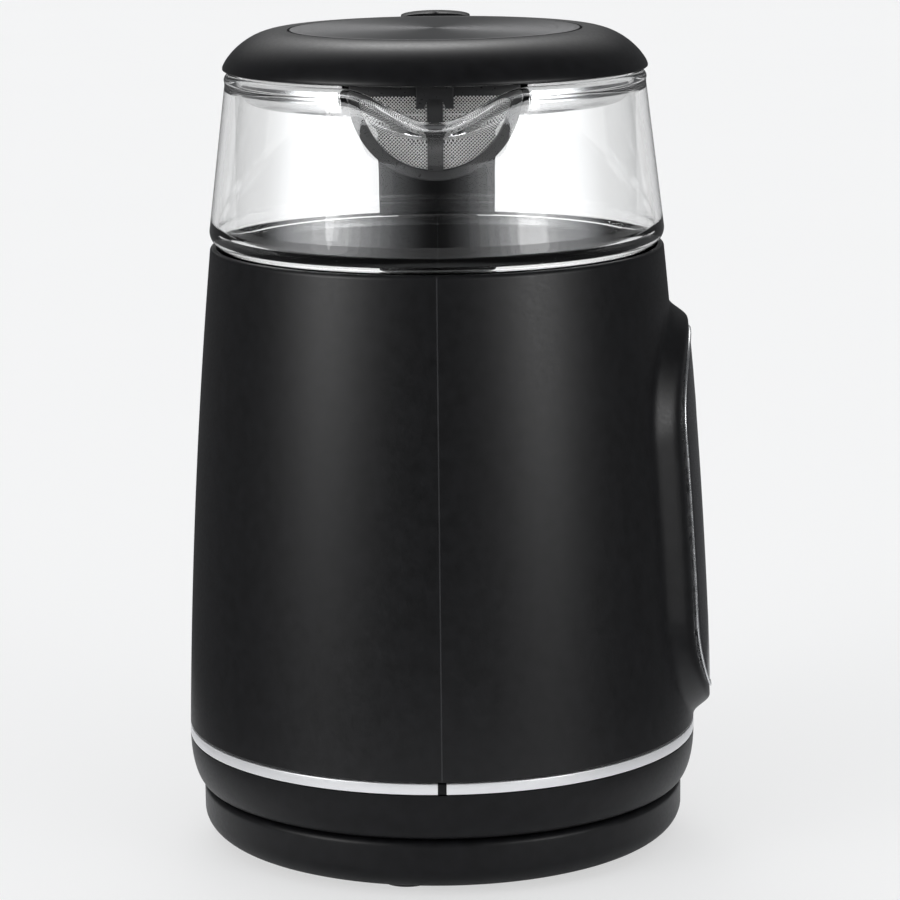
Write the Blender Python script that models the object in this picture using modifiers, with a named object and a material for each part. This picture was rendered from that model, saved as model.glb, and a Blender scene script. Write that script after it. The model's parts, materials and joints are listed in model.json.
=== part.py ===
"""Cordless electric kettle: glass jug in a black sleeve, hinged lid with strainer, power base.

The kettle's axis is vertical, the pouring lip faces -Y, the handle stands at +Y and the control
panel at +X. Sizes are in millimetres and heights are measured from the table.
"""

import math

import bmesh
import bpy
from mathutils import Matrix, Vector

MM = 0.001
CLEARANCE = 0.3
ROUND_STEPS = 40
SMALL_STEPS = 16
COLUMN_CROWDING = 0.6

# Power base
FOOT_HEIGHT = 1.6
FOOT_RADIUS = 6.0
FOOT_INSET = 18.2
FOOT_TURN = math.radians(-11)
BASE_RADIUS = 74.2
BASE_OPENING_INSET = 10.2
BASE_WALL = 2.0
BASE_TOP_EDGE = 1.6
BASE_LOW_CURVE_WIDTH = 10.0
BASE_LOW_CURVE_HEIGHT = 8.0
BASE_LOW_CURVE_END = -80
BASE_SEAT_TOP = 18.0
BASE_SEAT_STEP = 1.2
BASE_SEAT_INSET = 17.2
BASE_PLATE_THICKNESS = 2.2
BASE_SCREW_RADIUS = 2.8
BASE_SCREW_INSET = 34.2
BASE_SCREW_TURN = math.radians(34)
GLAND_RADIUS = 4.6
GLAND_BORE = 3.2
GLAND_FLANGE = 6.2
GLAND_HEIGHT = 8.6

# Round coupler between base and kettle
PLUG_RADIUS = 16.0
PLUG_FLANGE = 20.0
PLUG_HEIGHT = 13.0
CONTACT_RADIUS = 7.0
CONTACT_WALL = 1.0
CONTACT_PIN_RADIUS = 2.0
CONTACT_REACH = 9.0
SOCKET_WALL = 5.0
SOCKET_ROOF = 5.5

# Kettle body
BAND_RADIUS = 78.2
BAND_HEIGHT = 3.2
BAND_SPLIT = 3.3
SKIRT_HEIGHT = 14.7
SKIRT_FLARE = 4.8
SKIRT_WALL = 2.0
SPIGOT_HEIGHT = 5.0
SLEEVE_HEIGHT = 147.5
SLEEVE_TAPER = 9.4
SLEEVE_BULGE = 1.35
SLEEVE_WALL = 1.8

# Control panel on the sleeve
PANEL_RISE = 65.0
PANEL_HALF_HEIGHT = 56.5
PANEL_HALF_WIDTH = 24.0
TRIM_WIDTH = 1.8
TRIM_PROUD = 0.7
PANEL_DEPTH = 2.4
BOSS_LIFT = 5.2
BOSS_MARGIN = 2.5
BOSS_FOOT_SIDE = 13.0
BOSS_FOOT_END = 6.0
BOARD_THICKNESS = 1.6
BOARD_HALF_WIDTH = 17.0
BOARD_HALF_HEIGHT = 38.0
DISPLAY_HALF_WIDTH = 12.0
DISPLAY_HALF_HEIGHT = 30.0
DISPLAY_THICKNESS = 1.2

# Glass jug
RIM_BEAD = 2.0
RIM_BEAD_END = 120
GLASS_WALL = 2.4
SHOULDER_PROUD = 0.1
SHOULDER_HEIGHT = 4.6
SHOULDER_START = -22
SHOULDER_END = -80
INNER_SHOULDER_START = -70
INNER_SHOULDER_END = -10
JUG_NECK_GAP = 1.8
JUG_BOTTOM_INSET = 8.6
LIP_HALF_WIDTH = 27.0
LIP_REACH = 10.5
LIP_DIP = 8.5
LIP_DEPTH = 36.0

# Floor of the jug
CARRIER_SHELF = 13.6
CARRIER_FLOOR = 2.2
CARRIER_WALL = 2.0
CARRIER_LIP = 10.0
PLATE_THICKNESS = 1.2
SEAL_FOOT = 1.8
SEAL_LIP = 1.6
SEAL_HEIGHT = 7.5
SPREADER_INSET = 6.0
ELEMENT_INSET = 10.0
ELEMENT_TUBE = 3.2
ELEMENT_SWEEP = math.radians(310)
SENSOR_RADIUS = 4.0

# Lid
LID_RADIUS = 64.0
LID_TOP = 249.2
LID_HEIGHT = 11.8
LID_EDGE = 0.8
LID_WALL = 2.0
LID_OVERHANG = 0.4
LID_REST = 0.9
LID_SWING_GAP = 1.5
INLAY_INSET = 20.2
INLAY_THICKNESS = 1.0
LID_PLATE_THICKNESS = 2.0
LINER_INSET = 6.0
LINER_DEPTH = 9.8
LINER_CORNER = 3.5
LINER_CORNER_START = -20
LINER_WALL = 0.8

# Strainer
STRAINER_HALF_WIDTH = 24.6
STRAINER_HEIGHT = 28.0
STRAINER_INSET = 6.0
STRAINER_THICKNESS = 2.2
STRAINER_BAND = 3.4
STRAINER_RIB = 4.6
STRAINER_TOP_BAR = 3.6
TAB_HALF_WIDTH = 5.4
TAB_HEIGHT = 7.0
TAB_REACH = 2.6
TAB_NOTCH = 3.2
MESH_THICKNESS = 0.6
MESH_PITCH = 2.5
MESH_WIRE = 0.7
MESH_RIM = 0.8
HOLDER_DEPTH = 3.0
HOLDER_HEIGHT = 6.0
HOLDER_HALF_WIDTH = 20.0
NOTCH_MARGIN = 2.2

# Handle, hinge and button
COLUMN_HALF_WIDTH = 19.0
COLUMN_DEPTH = 11.1
BLOCK_RISE = 2.6
BLOCK_WALL = 4.0
BLOCK_CORNER = 2.0
BLOCK_EDGE = 1.2
THROAT_DEPTH = 7.3
THROAT_WIDTH = 8.0
THROAT_HEIGHT = 12.0
HINGE_SETBACK = 8.0
HINGE_DROP = 1.8
PIN_RADIUS = 1.5
PIN_HALF_LENGTH = 17.0
BARREL_RADIUS = 4.2
BARREL_HALF_LENGTH = 7.0
TONGUE_HEIGHT = 4.6
SLOT_HALF_WIDTH = 12.0
SLOT_DEPTH = 7.0
SLOT_DROP = 7.6
SPRING_WIRE = 0.3
SPRING_TURNS = 3.0
BUTTON_DEPTH = 12.0
BUTTON_HALF_WIDTH = 11.2
BUTTON_RISE = -1.6
BUTTON_HEIGHT = 18.6
BUTTON_EDGE = 3.2
BUTTON_TRAVEL = 3.0
BUTTON_SPRING_REST = 3.0
BUTTON_SPRING_RADIUS = 3.6
BUTTON_SPRING_TURNS = 4.0
GRIP_REACH = 27.0
GRIP_HALF_WIDTH = 14.0
GRIP_THICKNESS = 22.0
GRIP_FLAT_SHARE = 0.92
GRIP_DROP = 14.0
GRIP_RISE = 37.5
GRIP_TOP_BEND = 22.0
GRIP_BOTTOM_BEND = 24.0

# Values that follow from the sizes above
BASE_OPENING = BASE_RADIUS - BASE_OPENING_INSET
BASE_RIM_TOP = BASE_SEAT_TOP - BASE_SEAT_STEP
BASE_SEAT_RADIUS = BASE_RADIUS - BASE_SEAT_INSET
BASE_SCREW_CIRCLE = BASE_RADIUS - BASE_SCREW_INSET
FOOT_CIRCLE = BASE_RADIUS - FOOT_INSET
PLUG_TOP = BASE_SEAT_TOP + PLUG_HEIGHT
SKIRT_BOTTOM = BASE_SEAT_TOP + CLEARANCE
SKIRT_EDGE_RADIUS = BAND_RADIUS - SKIRT_FLARE
BAND_BOTTOM = SKIRT_BOTTOM + SKIRT_HEIGHT
SLEEVE_BOTTOM = BAND_BOTTOM + BAND_HEIGHT + CLEARANCE
SLEEVE_TOP = SLEEVE_BOTTOM + SLEEVE_HEIGHT
SLEEVE_TOP_RADIUS = BAND_RADIUS - SLEEVE_TAPER
PANEL_MIDDLE = SLEEVE_BOTTOM + PANEL_RISE
SPIGOT_RADIUS = BAND_RADIUS - SLEEVE_WALL - 2 * CLEARANCE
SPIGOT_TOP = SLEEVE_BOTTOM + SPIGOT_HEIGHT
SOCKET_RADIUS = PLUG_RADIUS + CLEARANCE + SOCKET_WALL
SOCKET_CEILING = PLUG_TOP + CLEARANCE
SOCKET_TOP = SOCKET_CEILING + SOCKET_ROOF
CARRIER_BOTTOM = SPIGOT_TOP + CLEARANCE
CARRIER_TOP = CARRIER_BOTTOM + CARRIER_FLOOR
PLATE_BOTTOM = CARRIER_TOP + CLEARANCE
PLATE_TOP = PLATE_BOTTOM + PLATE_THICKNESS
SEAL_BOTTOM = PLATE_TOP + CLEARANCE
JUG_BOTTOM = SEAL_BOTTOM + SEAL_FOOT + CLEARANCE
JUG_BOTTOM_RADIUS = BAND_RADIUS - JUG_BOTTOM_INSET
CARRIER_HOLE = JUG_BOTTOM_RADIUS - CARRIER_SHELF
SPREADER_RADIUS = CARRIER_HOLE - SPREADER_INSET
ELEMENT_RADIUS = SPREADER_RADIUS - ELEMENT_INSET
SHOULDER_BOTTOM = SLEEVE_TOP + CLEARANCE
SHOULDER_RADIUS = SLEEVE_TOP_RADIUS + SHOULDER_PROUD
LID_BOTTOM = LID_TOP - LID_HEIGHT
RIM_TOP = LID_BOTTOM - LID_REST
RIM_RADIUS = LID_RADIUS - LID_OVERHANG
INLAY_RADIUS = LID_RADIUS - INLAY_INSET
LINER_RADIUS = LID_RADIUS - LINER_INSET
LINER_FLOOR_RADIUS = LINER_RADIUS - LINER_CORNER
LID_PLATE_BOTTOM = LID_BOTTOM + CLEARANCE
LID_PLATE_TOP = LID_PLATE_BOTTOM + LID_PLATE_THICKNESS
LINER_TOP = LID_PLATE_BOTTOM - CLEARANCE
LINER_BOTTOM = LINER_TOP - LINER_DEPTH
STRAINER_TOP = LID_PLATE_BOTTOM - CLEARANCE
STRAINER_BOTTOM = STRAINER_TOP - STRAINER_HEIGHT
STRAINER_PLANE = STRAINER_INSET - LINER_RADIUS
STRAINER_FRONT = STRAINER_PLANE - STRAINER_THICKNESS / 2
STRAINER_BACK = STRAINER_PLANE + STRAINER_THICKNESS / 2
JUG_NECK_RADIUS = SLEEVE_TOP_RADIUS - SLEEVE_WALL - JUG_NECK_GAP
BLOCK_TOP = LID_BOTTOM + BLOCK_RISE
COLUMN_BACK = SHOULDER_RADIUS + COLUMN_DEPTH
HINGE_Y = LID_RADIUS + HINGE_SETBACK
HINGE_Z = LID_BOTTOM - HINGE_DROP
TONGUE_TOP = LID_BOTTOM + TONGUE_HEIGHT
SLOT_BACK = HINGE_Y + SLOT_DEPTH
SLOT_FLOOR = HINGE_Z - SLOT_DROP
BUTTON_FRONT = SLOT_BACK + BLOCK_WALL
BUTTON_BACK = BUTTON_FRONT + BUTTON_DEPTH
BUTTON_TOP = LID_TOP + BUTTON_RISE
BUTTON_BOTTOM = BUTTON_TOP - BUTTON_HEIGHT
BLOCK_BACK = BUTTON_BACK + BLOCK_WALL
GRIP_TOP = BLOCK_TOP - GRIP_DROP
GRIP_BOTTOM = SLEEVE_BOTTOM + GRIP_RISE
BLOCK_ARM_BOTTOM = GRIP_TOP - GRIP_DROP
GRIP_LINE = BLOCK_BACK + GRIP_REACH
BUTTON_SPRING_HEIGHT = BUTTON_TRAVEL + BUTTON_SPRING_REST

LOOKS = {
    "black_plastic": ((0.012, 0.012, 0.014), 0.38, 0.0, 0.0),
    "grey_rubber": ((0.05, 0.05, 0.05), 0.8, 0.0, 0.0),
    "steel": ((0.72, 0.72, 0.71), 0.22, 1.0, 0.0),
    "polished_metal": ((0.85, 0.85, 0.86), 0.06, 1.0, 0.0),
    "dark_metal": ((0.22, 0.22, 0.23), 0.3, 1.0, 0.0),
    "brass": ((0.75, 0.55, 0.25), 0.25, 1.0, 0.0),
    "aluminium": ((0.7, 0.71, 0.72), 0.4, 1.0, 0.0),
    "silicone": ((0.75, 0.76, 0.76), 0.6, 0.0, 0.2),
    "glass": ((0.97, 0.99, 0.98), 0.0, 0.0, 1.0),
    "tinted_lens": ((0.02, 0.02, 0.022), 0.08, 0.0, 0.0),
    "board_green": ((0.02, 0.12, 0.05), 0.5, 0.0, 0.0),
}


def clear_scene():
    """Remove whatever the scene holds."""
    for thing in list(bpy.data.objects):
        bpy.data.objects.remove(thing)


def new_collection(name):
    """Make a collection in the scene."""
    collection = bpy.data.collections.new(name)
    bpy.context.scene.collection.children.link(collection)
    return collection


def new_pivot(name, place, parent=None):
    """Make an empty at a place given on the kettle's axis frame."""
    pivot = bpy.data.objects.new(name, None)
    bpy.context.scene.collection.objects.link(pivot)
    pivot["place"] = place
    pivot.parent = parent
    offset = Vector(place)
    if parent:
        offset -= Vector(parent["place"])
    pivot.location = offset * MM
    return pivot


def put(thing, pivot, look, at=(0, 0, 0)):
    """Hang a finished part on its pivot, in the part collection and with its own material."""
    PARTS.objects.link(thing)
    thing.parent = pivot
    thing.location = (Vector(at) - Vector(pivot["place"])) * MM
    colour, roughness, metallic, transmission = LOOKS[look]
    material = bpy.data.materials.new(thing.name)
    material.use_nodes = True
    shader = material.node_tree.nodes["Principled BSDF"]
    shader.inputs["Base Color"].default_value = (*colour, 1)
    shader.inputs["Roughness"].default_value = roughness
    shader.inputs["Metallic"].default_value = metallic
    shader.inputs["Transmission Weight"].default_value = transmission
    thing.data.materials.clear()
    thing.data.materials.append(material)
    return thing


def as_cutter(thing):
    """Keep an object as a hidden tool for Boolean cuts, in the same frame as the parts."""
    CUTTERS.objects.link(thing)
    thing.parent = AXIS
    thing.hide_render = True
    thing.display_type = "WIRE"
    return thing


def boolean(thing, tool, operation):
    """Cut, join or intersect a part with a tool object."""
    step = thing.modifiers.new(operation.lower(), "BOOLEAN")
    step.operation = operation
    step.object = tool


def bevel(thing, width, segments=2, angle=math.radians(40)):
    """Round a part's sharp edges."""
    step = thing.modifiers.new("rounded", "BEVEL")
    step.width = width * MM
    step.segments = segments
    step.limit_method = "ANGLE"
    step.angle_limit = angle


def baked(thing):
    """Return the evaluated shape of an object as a plain mesh object of the same name."""
    scratch = bpy.context.scene.collection
    scratch.objects.link(thing)
    bpy.context.view_layer.update()
    seen = thing.evaluated_get(bpy.context.evaluated_depsgraph_get())
    mesh = bpy.data.meshes.new_from_object(seen)
    name = thing.name
    bpy.data.objects.remove(thing)
    form = bmesh.new()
    form.from_mesh(mesh)
    bmesh.ops.remove_doubles(form, verts=form.verts, dist=1e-6)
    bmesh.ops.recalc_face_normals(form, faces=form.faces)
    form.to_mesh(mesh)
    form.free()
    return bpy.data.objects.new(name, mesh)


def smooth(thing, angle=math.radians(35)):
    """Shade round faces smoothly and keep real edges sharp."""
    thing.data.shade_smooth()
    thing.data.set_sharp_from_angle(angle=angle)


def turned(name, profile, steps=ROUND_STEPS):
    """Turn a profile of (radius, height) points about the vertical axis.

    The profile runs down the outer side and back up the inner side, or from axis to axis.
    """
    mesh = bpy.data.meshes.new(name)
    points = [(radius * MM, 0, height * MM) for radius, height in profile]
    edges = [(i, i + 1) for i in range(len(points) - 1)]
    if profile[0][0] > 0:
        edges.append((len(points) - 1, 0))
    mesh.from_pydata(points, edges, [])
    thing = bpy.data.objects.new(name, mesh)
    screw = thing.modifiers.new("turned", "SCREW")
    screw.axis = "Z"
    screw.angle = math.tau
    screw.steps = steps
    screw.render_steps = steps
    screw.use_merge_vertices = True
    screw.merge_threshold = 1e-6
    screw.use_smooth_shade = True
    return thing


def ring(name, inner, outer, bottom, top, steps=ROUND_STEPS):
    """A plain turned ring."""
    return turned(name, [(inner, top), (outer, top), (outer, bottom), (inner, bottom)], steps)


def disc(name, radius, bottom, top, steps=ROUND_STEPS):
    """A plain turned disc."""
    return turned(name, [(0, top), (radius, top), (radius, bottom), (0, bottom)], steps)


def arc(middle, radius, start, end, count):
    """Points of an arc, given by its middle, its radius or two half-axes, and angles in degrees."""
    wide, tall = radius if isinstance(radius, tuple) else (radius, radius)
    turns = [math.radians(start + (end - start) * i / count) for i in range(count + 1)]
    return [(middle[0] + wide * math.cos(t), middle[1] + tall * math.sin(t)) for t in turns]


def block(name, low, high):
    """A box between two corners."""
    mesh = bpy.data.meshes.new(name)
    form = bmesh.new()
    bmesh.ops.create_cube(form, size=1)
    size = Vector(high) - Vector(low)
    middle = (Vector(high) + Vector(low)) / 2
    bmesh.ops.transform(form, verts=form.verts, matrix=Matrix.Diagonal((*(size * MM), 1)))
    bmesh.ops.translate(form, verts=form.verts, vec=middle * MM)
    form.to_mesh(mesh)
    form.free()
    return bpy.data.objects.new(name, mesh)


def rod(name, radius, start, end, steps=SMALL_STEPS):
    """A round bar from one point to another."""
    mesh = bpy.data.meshes.new(name)
    form = bmesh.new()
    span = Vector(end) - Vector(start)
    bmesh.ops.create_cone(
        form, cap_ends=True, segments=steps, radius1=radius * MM, radius2=radius * MM, depth=span.length * MM
    )
    turn = span.to_track_quat("Z", "Y").to_matrix().to_4x4()
    middle = (Vector(start) + Vector(end)) / 2
    bmesh.ops.transform(form, verts=form.verts, matrix=Matrix.Translation(middle * MM) @ turn)
    form.to_mesh(mesh)
    form.free()
    return bpy.data.objects.new(name, mesh)


def flat_curve(name, outlines, thickness):
    """A 2D curve filled between its outlines and extruded to a thickness."""
    curve = bpy.data.curves.new(name, "CURVE")
    curve.dimensions = "2D"
    curve.fill_mode = "BOTH"
    curve.extrude = thickness / 2 * MM
    for outline in outlines:
        spline = curve.splines.new("POLY")
        spline.points.add(len(outline) - 1)
        for point, (across, up) in zip(spline.points, outline):
            point.co = (across * MM, up * MM, 0, 1)
        spline.use_cyclic_u = True
    return bpy.data.objects.new(name, curve)


def upright(thing, facing, at):
    """Stand a flat shape up so that its front faces along an axis, centred at a place."""
    across = {"X": Vector((0, 1, 0)), "Y": Vector((-1, 0, 0))}[facing]
    up = Vector((0, 0, 1))
    out = across.cross(up)
    stand = Matrix((across, up, out)).transposed().to_4x4()
    thing.data.transform(Matrix.Translation(Vector(at) * MM) @ stand)
    return thing


def tube(name, points, radius, sides=1, closed=False):
    """A round wire along points."""
    curve = bpy.data.curves.new(name, "CURVE")
    curve.dimensions = "3D"
    curve.bevel_depth = radius * MM
    curve.bevel_resolution = sides
    curve.use_fill_caps = True
    spline = curve.splines.new("POLY")
    spline.points.add(len(points) - 1)
    for point, place in zip(spline.points, points):
        point.co = (*(Vector(place) * MM), 1)
    spline.use_cyclic_u = closed
    return baked(bpy.data.objects.new(name, curve))


def swept(name, path, section):
    """Sweep a closed section along a path that lies in the kettle's middle plane.

    The section's points are (side, out), with out pointing away from the inside of the bend.
    """
    rows = []
    for i, (back, up) in enumerate(path):
        before = path[max(i - 1, 0)]
        after = path[min(i + 1, len(path) - 1)]
        along = Vector((after[0] - before[0], after[1] - before[1])).normalized()
        outward = Vector((-along[1], along[0]))
        rows.append([(side, back + outward[0] * out, up + outward[1] * out) for side, out in section])
    form = bmesh.new()
    grid = [[form.verts.new(Vector(place) * MM) for place in row] for row in rows]
    count = len(section)
    for near, far in zip(grid, grid[1:]):
        for i in range(count):
            j = (i + 1) % count
            form.faces.new((near[i], near[j], far[j], far[i]))
    form.faces.new(grid[0])
    form.faces.new(list(reversed(grid[-1])))
    bmesh.ops.recalc_face_normals(form, faces=form.faces)
    mesh = bpy.data.meshes.new(name)
    form.to_mesh(mesh)
    form.free()
    return bpy.data.objects.new(name, mesh)


def ease(share):
    """Smooth step from 0 to 1."""
    share = min(max(share, 0.0), 1.0)
    return share * share * (3 - 2 * share)


def sleeve_radius(height):
    """Outer radius of the sleeve: a straight taper with a slight bulge."""
    share = (height - SLEEVE_BOTTOM) / (SLEEVE_TOP - SLEEVE_BOTTOM)
    straight = BAND_RADIUS + (SLEEVE_TOP_RADIUS - BAND_RADIUS) * share
    return straight + 4 * SLEEVE_BULGE * share * (1 - share)


def stadium_distance(across, up, half_width, half_height):
    """Signed distance from a point to an upright stadium outline round the panel's middle."""
    straight = half_height - half_width
    beyond = max(abs(up) - straight, 0.0)
    return math.hypot(across, beyond) - half_width


def boss_height(across, height):
    """How far the moulded boss under the panel stands out of the sleeve."""
    up = height - PANEL_MIDDLE
    face_width = PANEL_HALF_WIDTH + BOSS_MARGIN
    face_height = PANEL_HALF_HEIGHT + BOSS_MARGIN
    outside_face = stadium_distance(across, up, face_width, face_height)
    inside_foot = -stadium_distance(across, up, face_width + BOSS_FOOT_SIDE, face_height + BOSS_FOOT_END)
    if outside_face <= 0:
        return BOSS_LIFT
    if inside_foot <= 0:
        return 0.0
    return BOSS_LIFT * ease(inside_foot / (inside_foot + outside_face))


def gathered(angle):
    """Shift an angle so that evenly spaced columns crowd together round zero."""
    return angle - COLUMN_CROWDING * math.sin(angle)


def face_profile(below, above, rows=12):
    """Profile of a shell that follows the panel's face, between two offsets from it."""
    low = PANEL_MIDDLE - PANEL_HALF_HEIGHT - BOSS_MARGIN
    high = PANEL_MIDDLE + PANEL_HALF_HEIGHT + BOSS_MARGIN
    heights = [high + (low - high) * i / rows for i in range(rows + 1)]
    outer = [(sleeve_radius(z) + BOSS_LIFT + above, z) for z in heights]
    inner = [(sleeve_radius(z) + BOSS_LIFT - below, z) for z in reversed(heights)]
    return outer + inner


def stadium(half_width, half_height, count=11):
    """Outline of an upright stadium about the origin."""
    straight = half_height - half_width
    return arc((0, straight), half_width, 0, 180, count) + arc((0, -straight), half_width, 180, 360, count)


def stadium_prism(name, half_width, half_height):
    """A stadium bar that runs out through the panel along X."""
    reach = BAND_RADIUS
    bar = baked(flat_curve(name, [stadium(half_width, half_height)], reach))
    return upright(bar, "X", (reach, 0, PANEL_MIDDLE))


def glass_outside():
    """Outer side of the jug above the sleeve, from the rim bead down to the shoulder."""
    bead = arc((RIM_RADIUS - RIM_BEAD, RIM_TOP - RIM_BEAD), RIM_BEAD, 90, 0, 3)
    shoulder_top = SHOULDER_BOTTOM + SHOULDER_HEIGHT
    wall_top = RIM_TOP - 2 * RIM_BEAD
    rows = 5
    wall = []
    for i in range(rows + 1):
        share = i / rows
        radius = RIM_RADIUS + (SHOULDER_RADIUS - RIM_RADIUS) * share
        wall.append((radius, wall_top + (shoulder_top - wall_top) * share))
    corner = arc((SHOULDER_RADIUS - SHOULDER_HEIGHT, shoulder_top), SHOULDER_HEIGHT, SHOULDER_START, SHOULDER_END, 3)
    return bead + wall + corner


def glass_inside():
    """Inner side of the jug, from its bottom edge up to the rim bead."""
    shoulder_top = SHOULDER_BOTTOM + SHOULDER_HEIGHT
    neck = JUG_NECK_RADIUS - GLASS_WALL
    wide = SHOULDER_RADIUS - GLASS_WALL
    turn = wide - neck
    lower = [(JUG_BOTTOM_RADIUS - GLASS_WALL, JUG_BOTTOM), (neck, SHOULDER_BOTTOM - SHOULDER_HEIGHT)]
    bend = arc((neck, shoulder_top + GLASS_WALL), (turn, SHOULDER_HEIGHT), INNER_SHOULDER_START, INNER_SHOULDER_END, 3)
    wall_top = RIM_TOP - 2 * RIM_BEAD
    rows = 5
    wall = []
    for i in range(1, rows + 1):
        share = i / rows
        radius = wide + (RIM_RADIUS - GLASS_WALL - wide) * share
        bottom = shoulder_top + GLASS_WALL
        wall.append((radius, bottom + (wall_top - bottom) * share))
    bead = arc((RIM_RADIUS - RIM_BEAD, RIM_TOP - RIM_BEAD), RIM_BEAD, 180, RIM_BEAD_END, 2)
    return lower + bend + wall + bead


def pour_lip(x, y, z):
    """Pull the front of the rim out and down into the pouring lip."""
    if y >= 0 or abs(x) >= LIP_HALF_WIDTH:
        return x, y, z
    width_share = math.cos(math.pi * x / (2 * LIP_HALF_WIDTH)) ** 2
    height_share = ease((z - RIM_TOP + LIP_DEPTH) / LIP_DEPTH)
    reach = LIP_REACH * width_share * height_share
    dip = LIP_DIP * width_share * height_share ** 2
    return x, y - reach, z - dip


def reshaped(thing, towards, rule):
    """Crowd a turned mesh's columns towards an angle and move its points by a rule on x, y, z."""
    for vertex in thing.data.vertices:
        x, y, z = vertex.co / MM
        radius = math.hypot(x, y)
        angle = towards + gathered(math.remainder(math.atan2(y, x) - towards, math.tau))
        vertex.co = Vector(rule(radius * math.cos(angle), radius * math.sin(angle), z)) * MM
    thing.data.update()
    return thing


def coil_points(middle, radius, length, turns, along):
    """Points of a helix of a given length about an axis along X or Z."""
    steps = 9
    count = round(turns * steps)
    points = []
    for i in range(count + 1):
        turn = math.tau * i / steps
        run = length * (i / count - 0.5)
        side, rise = radius * math.cos(turn), radius * math.sin(turn)
        offset = (run, side, rise) if along == "X" else (side, rise, run)
        points.append(tuple(m + o for m, o in zip(middle, offset)))
    return points


def print_coil_gap(name, points, wire, turns):
    """Print the least gap between neighbouring turns of a coil."""
    per_turn = round((len(points) - 1) / turns)
    gaps = [math.dist(a, b) - 2 * wire for a, b in zip(points, points[per_turn:])]
    print(f"{name}: least gap between turns {min(gaps):.2f} mm")


def make_power_base():
    """Cover, plate, feet, screws and cord gland of the power base."""
    low_curve = (BASE_LOW_CURVE_WIDTH, BASE_LOW_CURVE_HEIGHT)
    low_middle = (BASE_RADIUS - low_curve[0], FOOT_HEIGHT + low_curve[1])
    low_corner = arc(low_middle, low_curve, 0, BASE_LOW_CURVE_END, 4)
    top_edge = arc((BASE_RADIUS - BASE_TOP_EDGE, BASE_RIM_TOP - BASE_TOP_EDGE), BASE_TOP_EDGE, 90, 0, 2)
    hole = PLUG_RADIUS + CLEARANCE
    inner_low = FOOT_HEIGHT + BASE_PLATE_THICKNESS + CLEARANCE
    cover = turned("base_cover", [
        (hole, BASE_SEAT_TOP),
        (BASE_SEAT_RADIUS, BASE_SEAT_TOP),
        (BASE_SEAT_RADIUS + BASE_WALL, BASE_RIM_TOP),
        *top_edge,
        *low_corner,
        (BASE_OPENING, FOOT_HEIGHT),
        (BASE_OPENING, inner_low + BASE_WALL),
        (BASE_RADIUS - 2 * BASE_WALL, inner_low + 2 * BASE_WALL),
        (BASE_RADIUS - BASE_WALL, BASE_RIM_TOP - BASE_WALL),
        (BASE_SEAT_RADIUS, BASE_RIM_TOP - BASE_WALL),
        (BASE_SEAT_RADIUS - BASE_WALL, BASE_SEAT_TOP - BASE_WALL),
        (hole, BASE_SEAT_TOP - BASE_WALL),
    ])
    gland_start = (0, BASE_RADIUS - 4 * BASE_WALL, GLAND_HEIGHT)
    gland_end = (0, BASE_RADIUS + BASE_WALL, GLAND_HEIGHT)
    gland_hole = as_cutter(rod("gland_hole", GLAND_RADIUS + CLEARANCE, gland_start, gland_end))
    boolean(cover, gland_hole, "DIFFERENCE")
    put(cover, AXIS, "black_plastic")

    plate = disc("base_plate", BASE_OPENING - CLEARANCE, FOOT_HEIGHT, FOOT_HEIGHT + BASE_PLATE_THICKNESS)
    for i in range(3):
        angle = BASE_SCREW_TURN + math.tau * i / 3
        x, y = BASE_SCREW_CIRCLE * math.cos(angle), BASE_SCREW_CIRCLE * math.sin(angle)
        hole_radius = BASE_SCREW_RADIUS + CLEARANCE
        above = FOOT_HEIGHT + 2 * BASE_PLATE_THICKNESS
        screw_hole = as_cutter(rod(f"base_screw_hole_{i + 1}", hole_radius, (x, y, 0), (x, y, above)))
        boolean(plate, screw_hole, "DIFFERENCE")
        screw_top = BASE_SEAT_TOP - BASE_WALL - CLEARANCE
        screw = turned(f"base_screw_{i + 1}", [
            (0, screw_top),
            (BASE_SCREW_RADIUS / 2, screw_top),
            (BASE_SCREW_RADIUS / 2, FOOT_HEIGHT + BASE_PLATE_THICKNESS),
            (BASE_SCREW_RADIUS, FOOT_HEIGHT + BASE_PLATE_THICKNESS),
            (BASE_SCREW_RADIUS, FOOT_HEIGHT),
            (0, FOOT_HEIGHT),
        ], SMALL_STEPS // 2)
        put(screw, AXIS, "steel", (x, y, 0))
    put(plate, AXIS, "black_plastic")

    for i in range(4):
        angle = -math.pi / 2 + FOOT_TURN + math.tau * i / 4
        foot = turned(f"base_foot_{i + 1}", [
            (0, FOOT_HEIGHT - CLEARANCE),
            (FOOT_RADIUS, FOOT_HEIGHT - CLEARANCE),
            (FOOT_RADIUS, CLEARANCE),
            (FOOT_RADIUS - CLEARANCE, 0),
            (0, 0),
        ], SMALL_STEPS)
        put(foot, AXIS, "grey_rubber", (FOOT_CIRCLE * math.cos(angle), FOOT_CIRCLE * math.sin(angle), 0))

    gland_length = 3 * BASE_WALL
    gland = turned("cord_gland", [
        (GLAND_BORE, gland_length),
        (GLAND_FLANGE, gland_length),
        (GLAND_FLANGE, gland_length - BASE_WALL / 2),
        (GLAND_RADIUS, gland_length - BASE_WALL / 2),
        (GLAND_RADIUS, 0),
        (GLAND_BORE, 0),
    ], SMALL_STEPS)
    put(gland, AXIS, "grey_rubber")
    gland_face = BASE_RADIUS + CLEARANCE + BASE_WALL / 2
    gland.location = Vector((0, gland_face - gland_length, GLAND_HEIGHT)) * MM
    gland.rotation_euler = (-math.pi / 2, 0, 0)


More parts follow.
